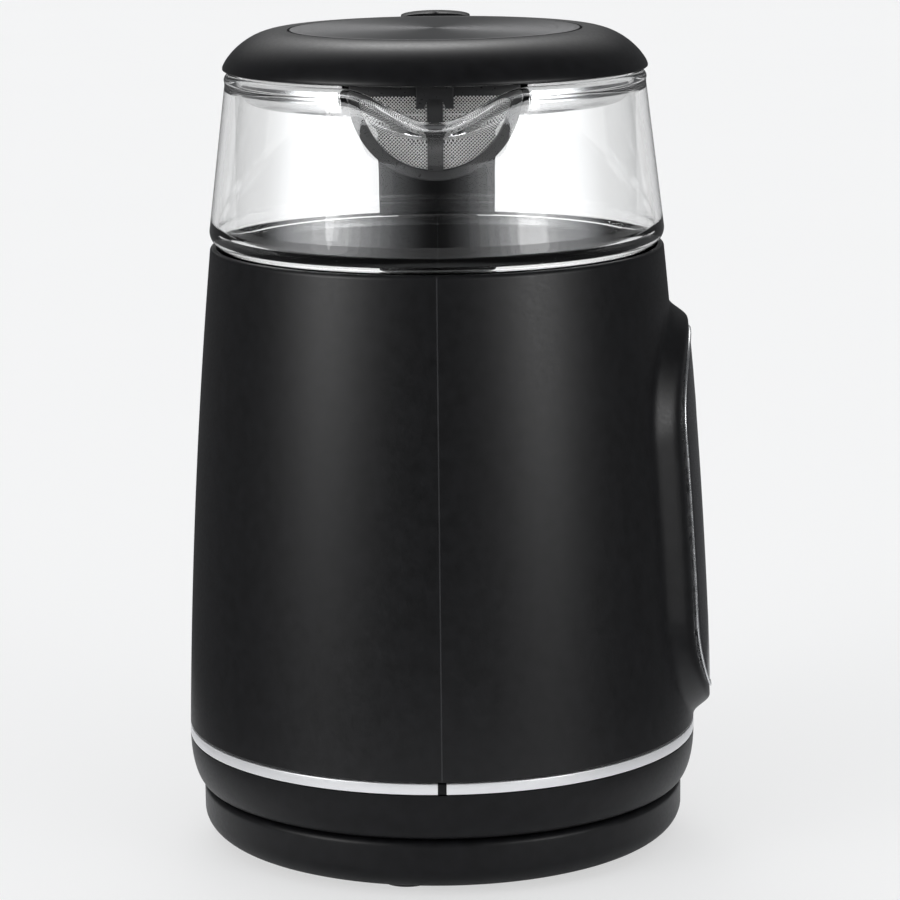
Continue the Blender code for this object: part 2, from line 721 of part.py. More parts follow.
def make_coupler():
    """Round plug that the kettle turns on, with its contact ring and centre contact."""
    plate_top = FOOT_HEIGHT + BASE_PLATE_THICKNESS
    flange_top = BASE_SEAT_TOP - BASE_WALL - CLEARANCE
    flange_bottom = plate_top + CLEARANCE
    groove_inner = CONTACT_RADIUS - CONTACT_WALL - 2 * CLEARANCE
    groove_outer = CONTACT_RADIUS + 2 * CLEARANCE + 2 * CONTACT_WALL
    groove_floor = PLUG_TOP - CONTACT_REACH - 2 * CONTACT_WALL
    bore = CONTACT_PIN_RADIUS + CLEARANCE
    plug = turned("coupler_plug", [
        (bore, PLUG_TOP),
        (groove_inner, PLUG_TOP),
        (groove_inner, groove_floor),
        (groove_outer, groove_floor),
        (groove_outer, PLUG_TOP),
        (PLUG_RADIUS - CONTACT_WALL, PLUG_TOP),
        (PLUG_RADIUS, PLUG_TOP - 2 * CONTACT_WALL),
        (PLUG_RADIUS, flange_top),
        (PLUG_FLANGE, flange_top),
        (PLUG_FLANGE, flange_bottom),
        (bore, flange_bottom),
    ], SMALL_STEPS * 3 // 2)
    put(plug, SWIVEL, "black_plastic")
    ring_outer = groove_outer - CLEARANCE
    ring_top = PLUG_TOP - CONTACT_WALL
    contact_ring = ring("plug_contact_ring", ring_outer - CONTACT_WALL / 2, ring_outer,
                        groove_floor + CLEARANCE, ring_top, SMALL_STEPS)
    put(contact_ring, SWIVEL, "brass")
    centre_top = PLUG_TOP - CONTACT_REACH - CLEARANCE
    centre = disc("plug_centre_contact", CONTACT_PIN_RADIUS, flange_bottom, centre_top, SMALL_STEPS // 2)
    put(centre, SWIVEL, "brass")

    cavity = PLUG_RADIUS + CLEARANCE
    floor_top = SKIRT_BOTTOM + SKIRT_WALL + CLEARANCE
    socket = turned("coupler_socket", [
        (0, SOCKET_TOP),
        (SOCKET_RADIUS, SOCKET_TOP),
        (SOCKET_RADIUS, floor_top + SKIRT_WALL),
        (SOCKET_RADIUS + 2 * SKIRT_WALL, floor_top + SKIRT_WALL),
        (SOCKET_RADIUS + 2 * SKIRT_WALL, floor_top),
        (SOCKET_RADIUS, floor_top),
        (SOCKET_RADIUS, SKIRT_BOTTOM),
        (cavity, SKIRT_BOTTOM),
        (cavity, SOCKET_CEILING),
        (0, SOCKET_CEILING),
    ], SMALL_STEPS * 3 // 2)
    put(socket, KETTLE, "black_plastic")
    blade_top = SOCKET_CEILING - CLEARANCE
    blade = ring("socket_contact_ring", CONTACT_RADIUS - CONTACT_WALL, CONTACT_RADIUS,
                 PLUG_TOP - CONTACT_REACH, blade_top, SMALL_STEPS)
    put(blade, KETTLE, "brass")
    pin = disc("socket_centre_pin", CONTACT_PIN_RADIUS, PLUG_TOP - CONTACT_REACH, blade_top, SMALL_STEPS // 2)
    put(pin, KETTLE, "brass")


def make_skirt_and_band():
    """Bottom shell of the kettle and the split metal band above it."""
    shelf = BAND_BOTTOM - CLEARANCE
    flare = arc((SKIRT_EDGE_RADIUS, shelf), (BAND_RADIUS - SKIRT_EDGE_RADIUS, shelf - SKIRT_BOTTOM), 0, -90, 6)
    hole = SOCKET_RADIUS + CLEARANCE
    floor_top = SKIRT_BOTTOM + SKIRT_WALL
    skirt = turned("skirt", [
        (SPIGOT_RADIUS, SPIGOT_TOP),
        (SPIGOT_RADIUS, shelf),
        *flare,
        (hole, SKIRT_BOTTOM),
        (hole, floor_top),
        (SKIRT_EDGE_RADIUS - SKIRT_WALL, floor_top),
        (SPIGOT_RADIUS - SKIRT_WALL, shelf),
        (SPIGOT_RADIUS - SKIRT_WALL, SPIGOT_TOP),
    ])
    put(skirt, KETTLE, "black_plastic")

    band_top = BAND_BOTTOM + BAND_HEIGHT
    edge = BAND_HEIGHT / 8
    band_inner = SPIGOT_RADIUS + CLEARANCE
    band = turned("metal_band", [
        (band_inner, band_top),
        (BAND_RADIUS - edge, band_top),
        (BAND_RADIUS, band_top - edge),
        (BAND_RADIUS, BAND_BOTTOM + edge),
        (BAND_RADIUS - edge, BAND_BOTTOM),
        (band_inner, BAND_BOTTOM),
    ])
    front = -BAND_RADIUS - SKIRT_WALL
    back = -SPIGOT_RADIUS + SKIRT_WALL
    low = (-BAND_SPLIT / 2, front, BAND_BOTTOM - BAND_HEIGHT)
    high = (BAND_SPLIT / 2, back, band_top + BAND_HEIGHT)
    boolean(band, as_cutter(block("band_split", low, high)), "DIFFERENCE")
    put(band, KETTLE, "polished_metal")

    half = BAND_SPLIT / 2 - CLEARANCE
    clip = block("band_clip", (-half, -BAND_RADIUS + edge, BAND_BOTTOM), (half, -band_inner, band_top))
    put(clip, KETTLE, "black_plastic")


def make_sleeve():
    """Black sleeve with the boss moulded in and a window for the panel."""
    low, high = SLEEVE_BOTTOM, SLEEVE_TOP
    face_half = PANEL_HALF_HEIGHT + BOSS_MARGIN
    boss_rows = []
    for side in (1, -1):
        for share in (0, 0.25, 0.5, 0.75, 1):
            boss_rows.append(PANEL_MIDDLE + side * (face_half + share * BOSS_FOOT_END))
        for share in (0.2, 0.5, 1):
            boss_rows.append(PANEL_MIDDLE + side * (face_half - share * PANEL_HALF_WIDTH))
    heights = sorted([low, PANEL_MIDDLE, high] + [z for z in boss_rows if low < z < high], reverse=True)
    outer = [(sleeve_radius(z), z) for z in heights]
    inner = [(sleeve_radius(z) - SLEEVE_WALL, z) for z in reversed(heights)]
    sleeve = baked(turned("sleeve", outer + inner, ROUND_STEPS + 8))

    def raise_boss(x, y, z):
        radius = math.hypot(x, y)
        angle = math.atan2(y, x)
        lifted = radius + boss_height(angle * sleeve_radius(z), z)
        return lifted * math.cos(angle), lifted * math.sin(angle), z

    reshaped(sleeve, 0.0, raise_boss)
    smooth(sleeve)
    gap = CLEARANCE
    window = as_cutter(stadium_prism("panel_window", PANEL_HALF_WIDTH + gap, PANEL_HALF_HEIGHT + gap))
    boolean(sleeve, window, "DIFFERENCE")
    put(sleeve, KETTLE, "black_plastic")


def make_panel():
    """Trim frame, lens, display and board of the control panel."""
    trim_shell = as_cutter(turned("trim_shell", face_profile(PANEL_DEPTH, TRIM_PROUD)))
    lens_shell = as_cutter(turned("lens_shell", face_profile(PANEL_DEPTH, 0)))
    inner_width = PANEL_HALF_WIDTH - TRIM_WIDTH
    inner_height = PANEL_HALF_HEIGHT - TRIM_WIDTH
    trim = stadium_prism("panel_trim", PANEL_HALF_WIDTH, PANEL_HALF_HEIGHT)
    boolean(trim, trim_shell, "INTERSECT")
    boolean(trim, as_cutter(stadium_prism("trim_hole", inner_width, inner_height)), "DIFFERENCE")
    put(trim, KETTLE, "polished_metal")
    lens = stadium_prism("panel_lens", inner_width - CLEARANCE, inner_height - CLEARANCE)
    boolean(lens, lens_shell, "INTERSECT")
    put(lens, KETTLE, "tinted_lens")

    lens_back = sleeve_radius(PANEL_MIDDLE + DISPLAY_HALF_HEIGHT) + BOSS_LIFT - PANEL_DEPTH
    face = math.sqrt(lens_back ** 2 - DISPLAY_HALF_WIDTH ** 2) - CLEARANCE
    seat = face - DISPLAY_THICKNESS
    low, high = PANEL_MIDDLE - DISPLAY_HALF_HEIGHT, PANEL_MIDDLE + DISPLAY_HALF_HEIGHT
    display = block("display_unit", (seat, -DISPLAY_HALF_WIDTH, low), (face, DISPLAY_HALF_WIDTH, high))
    put(display, KETTLE, "tinted_lens")
    back = seat - CLEARANCE
    low, high = PANEL_MIDDLE - BOARD_HALF_HEIGHT, PANEL_MIDDLE + BOARD_HALF_HEIGHT
    board = block("control_board", (back - BOARD_THICKNESS, -BOARD_HALF_WIDTH, low), (back, BOARD_HALF_WIDTH, high))
    put(board, KETTLE, "board_green")


def make_jug():
    """Glass jug: wide above the sleeve, stepped in at the shoulder, with a pulled pouring lip."""
    neck = [
        (JUG_NECK_RADIUS, SHOULDER_BOTTOM - CLEARANCE),
        (JUG_NECK_RADIUS, SHOULDER_BOTTOM - SHOULDER_HEIGHT),
        (JUG_BOTTOM_RADIUS, JUG_BOTTOM),
    ]
    jug = baked(turned("glass_jug", glass_outside() + neck + glass_inside(), ROUND_STEPS + 8))
    reshaped(jug, -math.pi / 2, pour_lip)
    smooth(jug)
    put(jug, KETTLE, "glass")


def make_jug_floor():
    """Carrier, heating plate, seal, heat spreader, element and sensor under the glass."""
    carrier_outer = sleeve_radius(CARRIER_TOP + CARRIER_LIP) - SLEEVE_WALL - 2 * CLEARANCE
    carrier_inner = carrier_outer - CARRIER_WALL
    carrier = turned("jug_carrier", [
        (carrier_inner, CARRIER_TOP + CARRIER_LIP),
        (carrier_outer, CARRIER_TOP + CARRIER_LIP),
        (carrier_outer, CARRIER_BOTTOM),
        (CARRIER_HOLE, CARRIER_BOTTOM),
        (CARRIER_HOLE, CARRIER_TOP),
        (carrier_inner, CARRIER_TOP),
    ])
    put(carrier, KETTLE, "black_plastic")
    plate = disc("heating_plate", carrier_inner - CLEARANCE, PLATE_BOTTOM, PLATE_TOP)
    put(plate, KETTLE, "steel")
    seal_outer = carrier_inner - CLEARANCE
    groove_outer = JUG_BOTTOM_RADIUS + CLEARANCE
    groove_inner = JUG_BOTTOM_RADIUS - GLASS_WALL - 2 * CLEARANCE
    seal_top = SEAL_BOTTOM + SEAL_HEIGHT
    seal = turned("jug_seal", [
        (groove_outer, seal_top),
        (seal_outer, seal_top),
        (seal_outer, SEAL_BOTTOM),
        (groove_inner - SEAL_LIP, SEAL_BOTTOM),
        (groove_inner - SEAL_LIP, seal_top),
        (groove_inner, seal_top),
        (groove_inner, SEAL_BOTTOM + SEAL_FOOT),
        (groove_outer, SEAL_BOTTOM + SEAL_FOOT),
    ])
    put(seal, KETTLE, "silicone")
    spreader_bottom = SOCKET_TOP + CLEARANCE
    spreader = disc("heat_spreader", SPREADER_RADIUS, spreader_bottom, PLATE_BOTTOM - CLEARANCE)
    put(spreader, KETTLE, "aluminium")
    element_height = spreader_bottom - CLEARANCE - ELEMENT_TUBE
    count = 22
    first = -math.pi / 2 + (math.tau - ELEMENT_SWEEP) / 2
    turns = [first + ELEMENT_SWEEP * i / count for i in range(count + 1)]
    path = [(ELEMENT_RADIUS * math.cos(t), ELEMENT_RADIUS * math.sin(t), element_height) for t in turns]
    put(tube("heating_element", path, ELEMENT_TUBE), KETTLE, "steel")
    sensor_place = (0, -SOCKET_RADIUS - SENSOR_RADIUS - 2 * CLEARANCE, 0)
    sensor = disc("temperature_sensor", SENSOR_RADIUS, element_height - ELEMENT_TUBE,
                  spreader_bottom - CLEARANCE, SMALL_STEPS // 2)
    put(sensor, KETTLE, "steel", sensor_place)


def make_lid():
    """Domed cover with hinge tongue, metal inlay, inner plate and steel liner dish."""
    dome_foot = LID_BOTTOM + LID_EDGE
    rim = INLAY_RADIUS + CLEARANCE
    seat = LID_TOP - INLAY_THICKNESS - CLEARANCE
    dome = arc((rim + LID_EDGE, dome_foot), (LID_RADIUS - rim - LID_EDGE, LID_TOP - dome_foot), 90, 0, 7)
    inner_radius = LID_RADIUS - LID_WALL
    hollow_top = seat - LID_WALL
    inside = arc((rim, LID_PLATE_TOP), (inner_radius - rim, hollow_top - LID_PLATE_TOP), 0, 90, 2)
    cover = baked(turned("lid_cover", [
        (0, seat),
        (rim, seat),
        (rim, LID_TOP),
        *dome,
        (LID_RADIUS, LID_BOTTOM),
        (inner_radius, LID_BOTTOM),
        *inside,
        (0, hollow_top),
    ]))
    tongue_front = inner_radius + CLEARANCE
    tongue_half = BARREL_HALF_LENGTH - CLEARANCE
    tongue_low = (-tongue_half, tongue_front, LID_BOTTOM + CLEARANCE)
    tongue = block("lid_tongue", tongue_low, (tongue_half, HINGE_Y, TONGUE_TOP))
    boolean(cover, as_cutter(tongue), "UNION")
    barrel_ends = [(side * BARREL_HALF_LENGTH, HINGE_Y, HINGE_Z) for side in (-1, 1)]
    boolean(cover, as_cutter(rod("lid_barrel", BARREL_RADIUS, *barrel_ends)), "UNION")
    bore_ends = [(side * COLUMN_HALF_WIDTH * 2, HINGE_Y, HINGE_Z) for side in (-1, 1)]
    bore = as_cutter(rod("hinge_bore", PIN_RADIUS + CLEARANCE, *bore_ends))
    boolean(cover, bore, "DIFFERENCE")
    smooth(cover)
    put(cover, LID, "black_plastic")

    inlay_top = seat + CLEARANCE + INLAY_THICKNESS
    put(disc("lid_inlay", INLAY_RADIUS, seat + CLEARANCE, inlay_top), LID, "dark_metal")

    plate = disc("lid_inner_plate", inner_radius - CLEARANCE, LID_PLATE_BOTTOM, LID_PLATE_TOP)
    holder_back = STRAINER_BACK + CLEARANCE + HOLDER_DEPTH
    holder_low = (-HOLDER_HALF_WIDTH, STRAINER_BACK + CLEARANCE, LID_PLATE_BOTTOM - HOLDER_HEIGHT)
    holder_high = (HOLDER_HALF_WIDTH, holder_back, LID_PLATE_TOP - CLEARANCE)
    boolean(plate, as_cutter(block("strainer_holder", holder_low, holder_high)), "UNION")
    put(plate, LID, "black_plastic")

    liner = turned("lid_liner", [
        (LINER_RADIUS - LINER_WALL, LINER_TOP),
        (LINER_RADIUS, LINER_TOP),
        (LINER_RADIUS, LINER_BOTTOM + 4 * LINER_WALL),
        *arc((LINER_FLOOR_RADIUS, LINER_BOTTOM + 4 * LINER_WALL),
             (LINER_RADIUS - LINER_FLOOR_RADIUS, 4 * LINER_WALL), LINER_CORNER_START, -90, 4),
        (0, LINER_BOTTOM),
        (0, LINER_BOTTOM + LINER_WALL),
        (LINER_FLOOR_RADIUS, LINER_BOTTOM + LINER_WALL),
        (LINER_RADIUS - LINER_WALL, LINER_BOTTOM + 4 * LINER_WALL),
    ])
    notch_half = STRAINER_HALF_WIDTH + NOTCH_MARGIN
    notch_back = holder_back + CLEARANCE
    notch = block("liner_notch", (-notch_half, -LID_RADIUS, LINER_BOTTOM - LINER_RADIUS),
                  (notch_half, notch_back, LID_TOP))
    boolean(liner, as_cutter(notch), "DIFFERENCE")
    put(liner, LID, "steel")


def half_round(half_width, top, bottom, count=14):
    """Outline with a straight top and a half-round bottom, as (across, up) points."""
    shoulder = bottom + half_width if top - bottom > half_width else top
    return [(half_width, top), *arc((0, shoulder), (half_width, shoulder - bottom), 0, -180, count), (-half_width, top)]


def strainer_window(side):
    """Outline of one of the two mesh windows, on the left or right of the rib."""
    edge = STRAINER_RIB / 2
    top = STRAINER_TOP - STRAINER_TOP_BAR
    half_width = STRAINER_HALF_WIDTH - STRAINER_BAND
    shoulder = min(STRAINER_BOTTOM + STRAINER_HALF_WIDTH, top)
    depth = shoulder - STRAINER_BOTTOM - STRAINER_BAND
    start = math.degrees(math.acos(edge / half_width))
    curve = arc((0, shoulder), (half_width, depth), 0, -start, 8)
    outline = [(half_width, top), *curve, (edge, top)] if shoulder < top else [*curve, (edge, top)]
    return [(side * across, up) for across, up in outline]


def shrunk(outline, amount):
    """Move an outline's points in towards its middle by an amount on each axis."""
    xs = [x for x, _ in outline]
    zs = [z for _, z in outline]
    middle = ((min(xs) + max(xs)) / 2, (min(zs) + max(zs)) / 2)
    half = ((max(xs) - min(xs)) / 2, (max(zs) - min(zs)) / 2)
    scale = [(h - amount) / h for h in half]
    return [tuple(m + (p - m) * s for p, m, s in zip(point, middle, scale)) for point in outline]


def holds(outline, across, up):
    """Whether a point lies inside an outline."""
    inside = False
    for (x1, z1), (x2, z2) in zip(outline, outline[1:] + outline[:1]):
        if (z1 > up) != (z2 > up) and across < x1 + (up - z1) * (x2 - x1) / (z2 - z1):
            inside = not inside
    return inside


def mesh_gaps(outline):
    """Square gaps of the steel mesh that fit inside its rim."""
    reach = shrunk(outline, MESH_RIM)
    half = (MESH_PITCH - MESH_WIRE) / 2
    left = min(x for x, _ in reach)
    right = max(x for x, _ in reach)
    low = min(z for _, z in reach)
    high = max(z for _, z in reach)
    gaps = []
    for i in range(int((right - left) / MESH_PITCH)):
        for j in range(int((high - low) / MESH_PITCH)):
            x = left + half + i * MESH_PITCH
            z = high - half - j * MESH_PITCH
            corners = [(x - half, z - half), (x + half, z - half), (x + half, z + half), (x - half, z + half)]
            if all(holds(reach, *corner) for corner in shrunk(corners, -CLEARANCE / 10)):
                gaps.append(corners)
    return gaps


def make_strainer():
    """Half-round frame with pull tab, and steel mesh in its two windows."""
    windows = {"right": strainer_window(1), "left": strainer_window(-1)}
    outline = half_round(STRAINER_HALF_WIDTH, STRAINER_TOP, STRAINER_BOTTOM)
    plane = (0, STRAINER_PLANE, 0)
    frame = upright(baked(flat_curve("strainer_frame", [outline, *windows.values()], STRAINER_THICKNESS)), "Y", plane)
    tab_low = (-TAB_HALF_WIDTH, STRAINER_FRONT - TAB_REACH, STRAINER_TOP - TAB_HEIGHT)
    tab_back = STRAINER_PLANE - MESH_THICKNESS / 2 - CLEARANCE
    tab = block("strainer_tab", tab_low, (TAB_HALF_WIDTH, tab_back, STRAINER_TOP - CLEARANCE))
    boolean(frame, as_cutter(tab), "UNION")
    notch_place = [(0, STRAINER_FRONT - reach, STRAINER_TOP - TAB_HEIGHT) for reach in (CLEARANCE, 2 * TAB_REACH)]
    boolean(frame, as_cutter(rod("tab_notch", TAB_NOTCH, *notch_place)), "DIFFERENCE")
    put(frame, STRAINER, "black_plastic")
    for side, window in windows.items():
        rim = shrunk(window, CLEARANCE)
        mesh = baked(flat_curve(f"strainer_mesh_{side}", [rim, *mesh_gaps(rim)], MESH_THICKNESS))
        put(upright(mesh, "Y", plane), STRAINER, "steel")


def body_clearance():
    """Solid of the kettle's outside plus the clearance, to shape what seats on it."""
    gap = CLEARANCE
    rows = 10
    heights = [SLEEVE_TOP + (SLEEVE_BOTTOM - SLEEVE_TOP) * i / rows for i in range(rows + 1)]
    sleeve_side = [(sleeve_radius(z) + gap, z) for z in heights]
    shoulder_top = SHOULDER_BOTTOM + SHOULDER_HEIGHT
    return as_cutter(turned("body_clearance", [
        (0, LID_TOP + LID_RADIUS),
        (LID_RADIUS + LID_SWING_GAP, LID_TOP + LID_RADIUS),
        (LID_RADIUS + LID_SWING_GAP, RIM_TOP - 2 * RIM_BEAD),
        (SHOULDER_RADIUS + gap, shoulder_top),
        *sleeve_side,
        (0, SLEEVE_BOTTOM),
    ], ROUND_STEPS * 2))


def make_hinge_block(outside):
    """Column behind the glass that carries the lid hinge and the button."""
    throat_middle = (COLUMN_BACK + THROAT_DEPTH + THROAT_WIDTH, BLOCK_ARM_BOTTOM - THROAT_HEIGHT)
    side = [
        (HINGE_Y - RIM_RADIUS / 2, BLOCK_TOP),
        (BLOCK_BACK - BLOCK_CORNER, BLOCK_TOP),
        (BLOCK_BACK, BLOCK_TOP - BLOCK_CORNER),
        (BLOCK_BACK, BLOCK_ARM_BOTTOM),
        *arc(throat_middle, (THROAT_WIDTH, THROAT_HEIGHT), 90, 180, 4),
        (COLUMN_BACK, SHOULDER_BOTTOM + CLEARANCE),
        (HINGE_Y - RIM_RADIUS / 2, SHOULDER_BOTTOM + CLEARANCE),
    ]
    column = upright(baked(flat_curve("hinge_block", [side], 2 * COLUMN_HALF_WIDTH)), "X", (0, 0, 0))
    bevel(column, BLOCK_EDGE, 1)
    boolean(column, outside, "DIFFERENCE")
    far = BLOCK_TOP + LID_RADIUS
    slot = block("lid_slot", (-SLOT_HALF_WIDTH, 0, SLOT_FLOOR), (SLOT_HALF_WIDTH, SLOT_BACK, far))
    boolean(column, as_cutter(slot), "DIFFERENCE")
    gap = CLEARANCE
    pocket_floor = BUTTON_BOTTOM - BUTTON_SPRING_HEIGHT
    pocket = block("button_pocket", (-BUTTON_HALF_WIDTH - gap, BUTTON_FRONT - gap, pocket_floor),
                   (BUTTON_HALF_WIDTH + gap, BUTTON_BACK + gap, far))
    boolean(column, as_cutter(pocket), "DIFFERENCE")
    ends = [(side * (PIN_HALF_LENGTH + gap), HINGE_Y, HINGE_Z) for side in (-1, 1)]
    boolean(column, as_cutter(rod("pin_hole", PIN_RADIUS + gap, *ends)), "DIFFERENCE")
    put(column, KETTLE, "black_plastic")


def make_hinge_and_button():
    """Hinge pin and its spring, the lid button and the spring under it."""
    pin_ends = [(side * PIN_HALF_LENGTH, HINGE_Y, HINGE_Z) for side in (-1, 1)]
    put(rod("hinge_pin", PIN_RADIUS, *pin_ends), KETTLE, "steel")
    inside = BARREL_HALF_LENGTH + CLEARANCE + SPRING_WIRE
    outside = SLOT_HALF_WIDTH - CLEARANCE - SPRING_WIRE
    middle = ((inside + outside) / 2, HINGE_Y, HINGE_Z)
    coil = coil_points(middle, PIN_RADIUS + CLEARANCE + 2 * SPRING_WIRE, outside - inside, SPRING_TURNS, "X")
    print_coil_gap("hinge_spring", coil, SPRING_WIRE, SPRING_TURNS)
    put(tube("hinge_spring", coil, SPRING_WIRE), KETTLE, "steel")

    button = block("lid_button", (-BUTTON_HALF_WIDTH, BUTTON_FRONT, BUTTON_BOTTOM),
                   (BUTTON_HALF_WIDTH, BUTTON_BACK, BUTTON_TOP))
    bevel(button, BUTTON_EDGE, 3)
    put(button, BUTTON, "black_plastic")
    low = BUTTON_BOTTOM - BUTTON_SPRING_HEIGHT + CLEARANCE + SPRING_WIRE
    high = BUTTON_BOTTOM - CLEARANCE - SPRING_WIRE
    middle = (0, (BUTTON_FRONT + BUTTON_BACK) / 2, (low + high) / 2)
    coil = coil_points(middle, BUTTON_SPRING_RADIUS, high - low, BUTTON_SPRING_TURNS, "Z")
    print_coil_gap("button_spring", coil, SPRING_WIRE, BUTTON_SPRING_TURNS)
    put(tube("button_spring", coil, SPRING_WIRE), KETTLE, "steel")


def grip_path():
    """Middle line of the handle from the hinge block round to the sleeve, as (back, up) points."""
    start = (BLOCK_BACK + CLEARANCE, GRIP_TOP)
    top_bend = arc((GRIP_LINE - GRIP_TOP_BEND, GRIP_TOP - GRIP_TOP_BEND), GRIP_TOP_BEND, 90, 0, 6)
    low_bend = arc((GRIP_LINE - GRIP_BOTTOM_BEND, GRIP_BOTTOM + GRIP_BOTTOM_BEND), GRIP_BOTTOM_BEND, 0, -90, 6)
    end = (sleeve_radius(GRIP_BOTTOM) - GRIP_THICKNESS / 2, GRIP_BOTTOM)
    return [start, *top_bend, *low_bend, end]


def make_handle(outside):
    """Outer and inner half of the handle grip."""
    path = grip_path()
    seam = CLEARANCE / 2
    depth = GRIP_THICKNESS / 2 - seam
    for name, sign in (("grip_outer", 1), ("grip_inner", -1)):
        curve = arc((0, sign * seam), (GRIP_HALF_WIDTH, sign * depth), 0, 180, 10)
        flat_from = depth * GRIP_FLAT_SHARE
        flattened = [(side, out if abs(out) < flat_from else sign * (seam + depth)) for side, out in curve]
        half = swept(name, path, flattened)
        boolean(half, outside, "DIFFERENCE")
        smooth(half)
        put(half, KETTLE, "black_plastic")


def footprint_middle():
    """Middle of the finished kettle in plan, in metres."""
    bpy.context.view_layer.update()
    depsgraph = bpy.context.evaluated_depsgraph_get()
    corners = []
    for thing in PARTS.objects:
        seen = thing.evaluated_get(depsgraph)
        corners += [seen.matrix_world @ Vector(corner) for corner in seen.bound_box]
    middle = [(min(c[i] for c in corners) + max(c[i] for c in corners)) / 2 for i in (0, 1)]
    return Vector((*middle, 0))


clear_scene()
PARTS = new_collection("electric_kettle")
CUTTERS = new_collection("cutters")
AXIS = new_pivot("kettle_axis", (0, 0, 0))
SWIVEL = new_pivot("swivel_axis", (0, 0, BASE_SEAT_TOP), AXIS)
KETTLE = new_pivot("lift_axis", (0, 0, SKIRT_BOTTOM), SWIVEL)
LID = new_pivot("lid_hinge_axis", (0, HINGE_Y, HINGE_Z), KETTLE)
STRAINER = new_pivot("strainer_slide", (0, STRAINER_PLANE, STRAINER_TOP), LID)
BUTTON = new_pivot("button_slide", (0, (BUTTON_FRONT + BUTTON_BACK) / 2, BUTTON_TOP), KETTLE)

make_power_base()
make_coupler()
make_skirt_and_band()
make_sleeve()
make_panel()
make_jug()
make_jug_floor()
make_lid()
make_strainer()
BODY_OUTSIDE = body_clearance()
make_hinge_block(BODY_OUTSIDE)
make_hinge_and_button()
make_handle(BODY_OUTSIDE)

# The origin is the middle of the whole kettle's footprint on the table
AXIS.location = -footprint_middle()
print("kettle axis at", [round(value / MM, 3) for value in AXIS.location], "mm")
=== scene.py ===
import json
import math

import bmesh
import bpy
from mathutils import Matrix, Vector


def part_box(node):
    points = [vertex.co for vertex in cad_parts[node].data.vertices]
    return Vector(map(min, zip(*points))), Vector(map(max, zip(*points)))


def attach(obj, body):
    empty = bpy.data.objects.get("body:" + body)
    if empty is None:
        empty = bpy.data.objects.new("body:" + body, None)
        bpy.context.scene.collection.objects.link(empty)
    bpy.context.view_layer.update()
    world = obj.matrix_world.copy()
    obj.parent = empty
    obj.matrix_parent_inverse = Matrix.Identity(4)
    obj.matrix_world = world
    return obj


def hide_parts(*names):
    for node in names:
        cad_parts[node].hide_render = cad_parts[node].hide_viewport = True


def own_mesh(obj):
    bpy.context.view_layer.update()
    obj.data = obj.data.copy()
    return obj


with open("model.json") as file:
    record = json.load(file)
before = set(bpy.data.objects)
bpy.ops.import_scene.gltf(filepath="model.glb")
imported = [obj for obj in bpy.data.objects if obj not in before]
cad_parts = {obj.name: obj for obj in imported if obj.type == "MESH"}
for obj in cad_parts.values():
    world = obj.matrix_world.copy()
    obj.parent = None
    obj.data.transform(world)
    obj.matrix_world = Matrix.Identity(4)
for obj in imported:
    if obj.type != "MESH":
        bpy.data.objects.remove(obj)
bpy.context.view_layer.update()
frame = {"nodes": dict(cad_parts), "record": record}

MM = 0.001
TURN = 2 * math.pi
FRONT = -math.pi / 2
AXIS = (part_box("base_cover")[0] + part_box("base_cover")[1]) / 2


def low(node):
    """Lowest height of a CAD node, in mm."""
    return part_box(node)[0].z / MM


def high(node):
    """Greatest height of a CAD node, in mm."""
    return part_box(node)[1].z / MM


def radius(node):
    """Half the width of a round CAD node, in mm."""
    lowest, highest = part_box(node)
    return (highest.x - lowest.x) / 2 / MM


def back(node):
    """How far behind the axis a CAD node reaches, in mm."""
    return (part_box(node)[1].y - AXIS.y) / MM


# Sizes in mm, taken from the CAD frame where a node gives them
GAP = 0.3
NEAR_AXIS = 0.01
SMALL_EDGE = 0.3
BASE_RADIUS = radius("base_cover")
BASE_BOTTOM = low("base_cover")
BASE_SEAT_TOP = high("base_cover")
BASE_RIM_TOP = BASE_SEAT_TOP - 0.4
BASE_SEAT_RADIUS = 57.0
BASE_CORNER = (10.0, 8.0)
BASE_RIM_EDGE = 1.8
BASE_WALL = 2.0
SEAT_STEP = 2.4
SEAT_EDGE = 0.8
SEAT_THICKNESS = 2.0
PLUG_HOLE_RADIUS = 20.4
PLUG_HOLE_EDGE = (1.6, 0.6)
FOOT_SPREAD = 1.5
FOOT_EDGE = 0.5
SOLE_DEPTH = 0.4
SOLE_SHARES = (0.4, 0.45)
BAND_RADIUS = radius("metal_band")
BAND_BOTTOM = low("metal_band")
BAND_TOP = high("metal_band")
BAND_DEPTH = 2.2
BAND_EDGE = 0.25
BAND_SPLIT = 2.6
JOINT_SHARE = 0.94
JOINT_INSET = 0.25
SKIRT_BOTTOM = low("skirt")
SKIRT_FLARE = 4.8
SKIRT_RING = 6.0
SKIRT_EDGE = 0.8
SKIRT_TOP_EDGE = (1.0, 0.1)
SKIRT_WALL = 3.0
SKIRT_INNER = (2.0, 3.0)
SLEEVE_BOTTOM = low("sleeve")
SLEEVE_TOP = high("sleeve")
SLEEVE_TAPER = 9.4
SLEEVE_BULGE = 1.35
SLEEVE_WALL = 1.8
SLEEVE_EDGE = 0.7
SEAM_HALF_WIDTH = 0.2
SEAM_HEIGHT = 0.15
PANEL_MIDDLE = (low("panel_trim") + high("panel_trim")) / 2
PANEL_HALF_HEIGHT = (high("panel_trim") - low("panel_trim")) / 2
PANEL_HALF_WIDTH = 28.0
TRIM_WIDTH = 1.3
TRIM_PROUD = 0.7
TRIM_SLOPE = 0.2
TRIM_EDGE = 0.5
TRIM_COVER = 0.7
LENS_GAP = 0.12
LENS_CROWN = ((0.0, 0.35), (0.3, 0.35), (0.6, 0.32), (0.9, 0.25), (0.97, 0.18), (1.0, -0.1))
BOSS_LIFT = 5.2
BOSS_MARGIN = 2.5
BOSS_FOOT = (9.0, 6.0)
RECESS = 1.6
RIM_TOP = high("glass_jug")
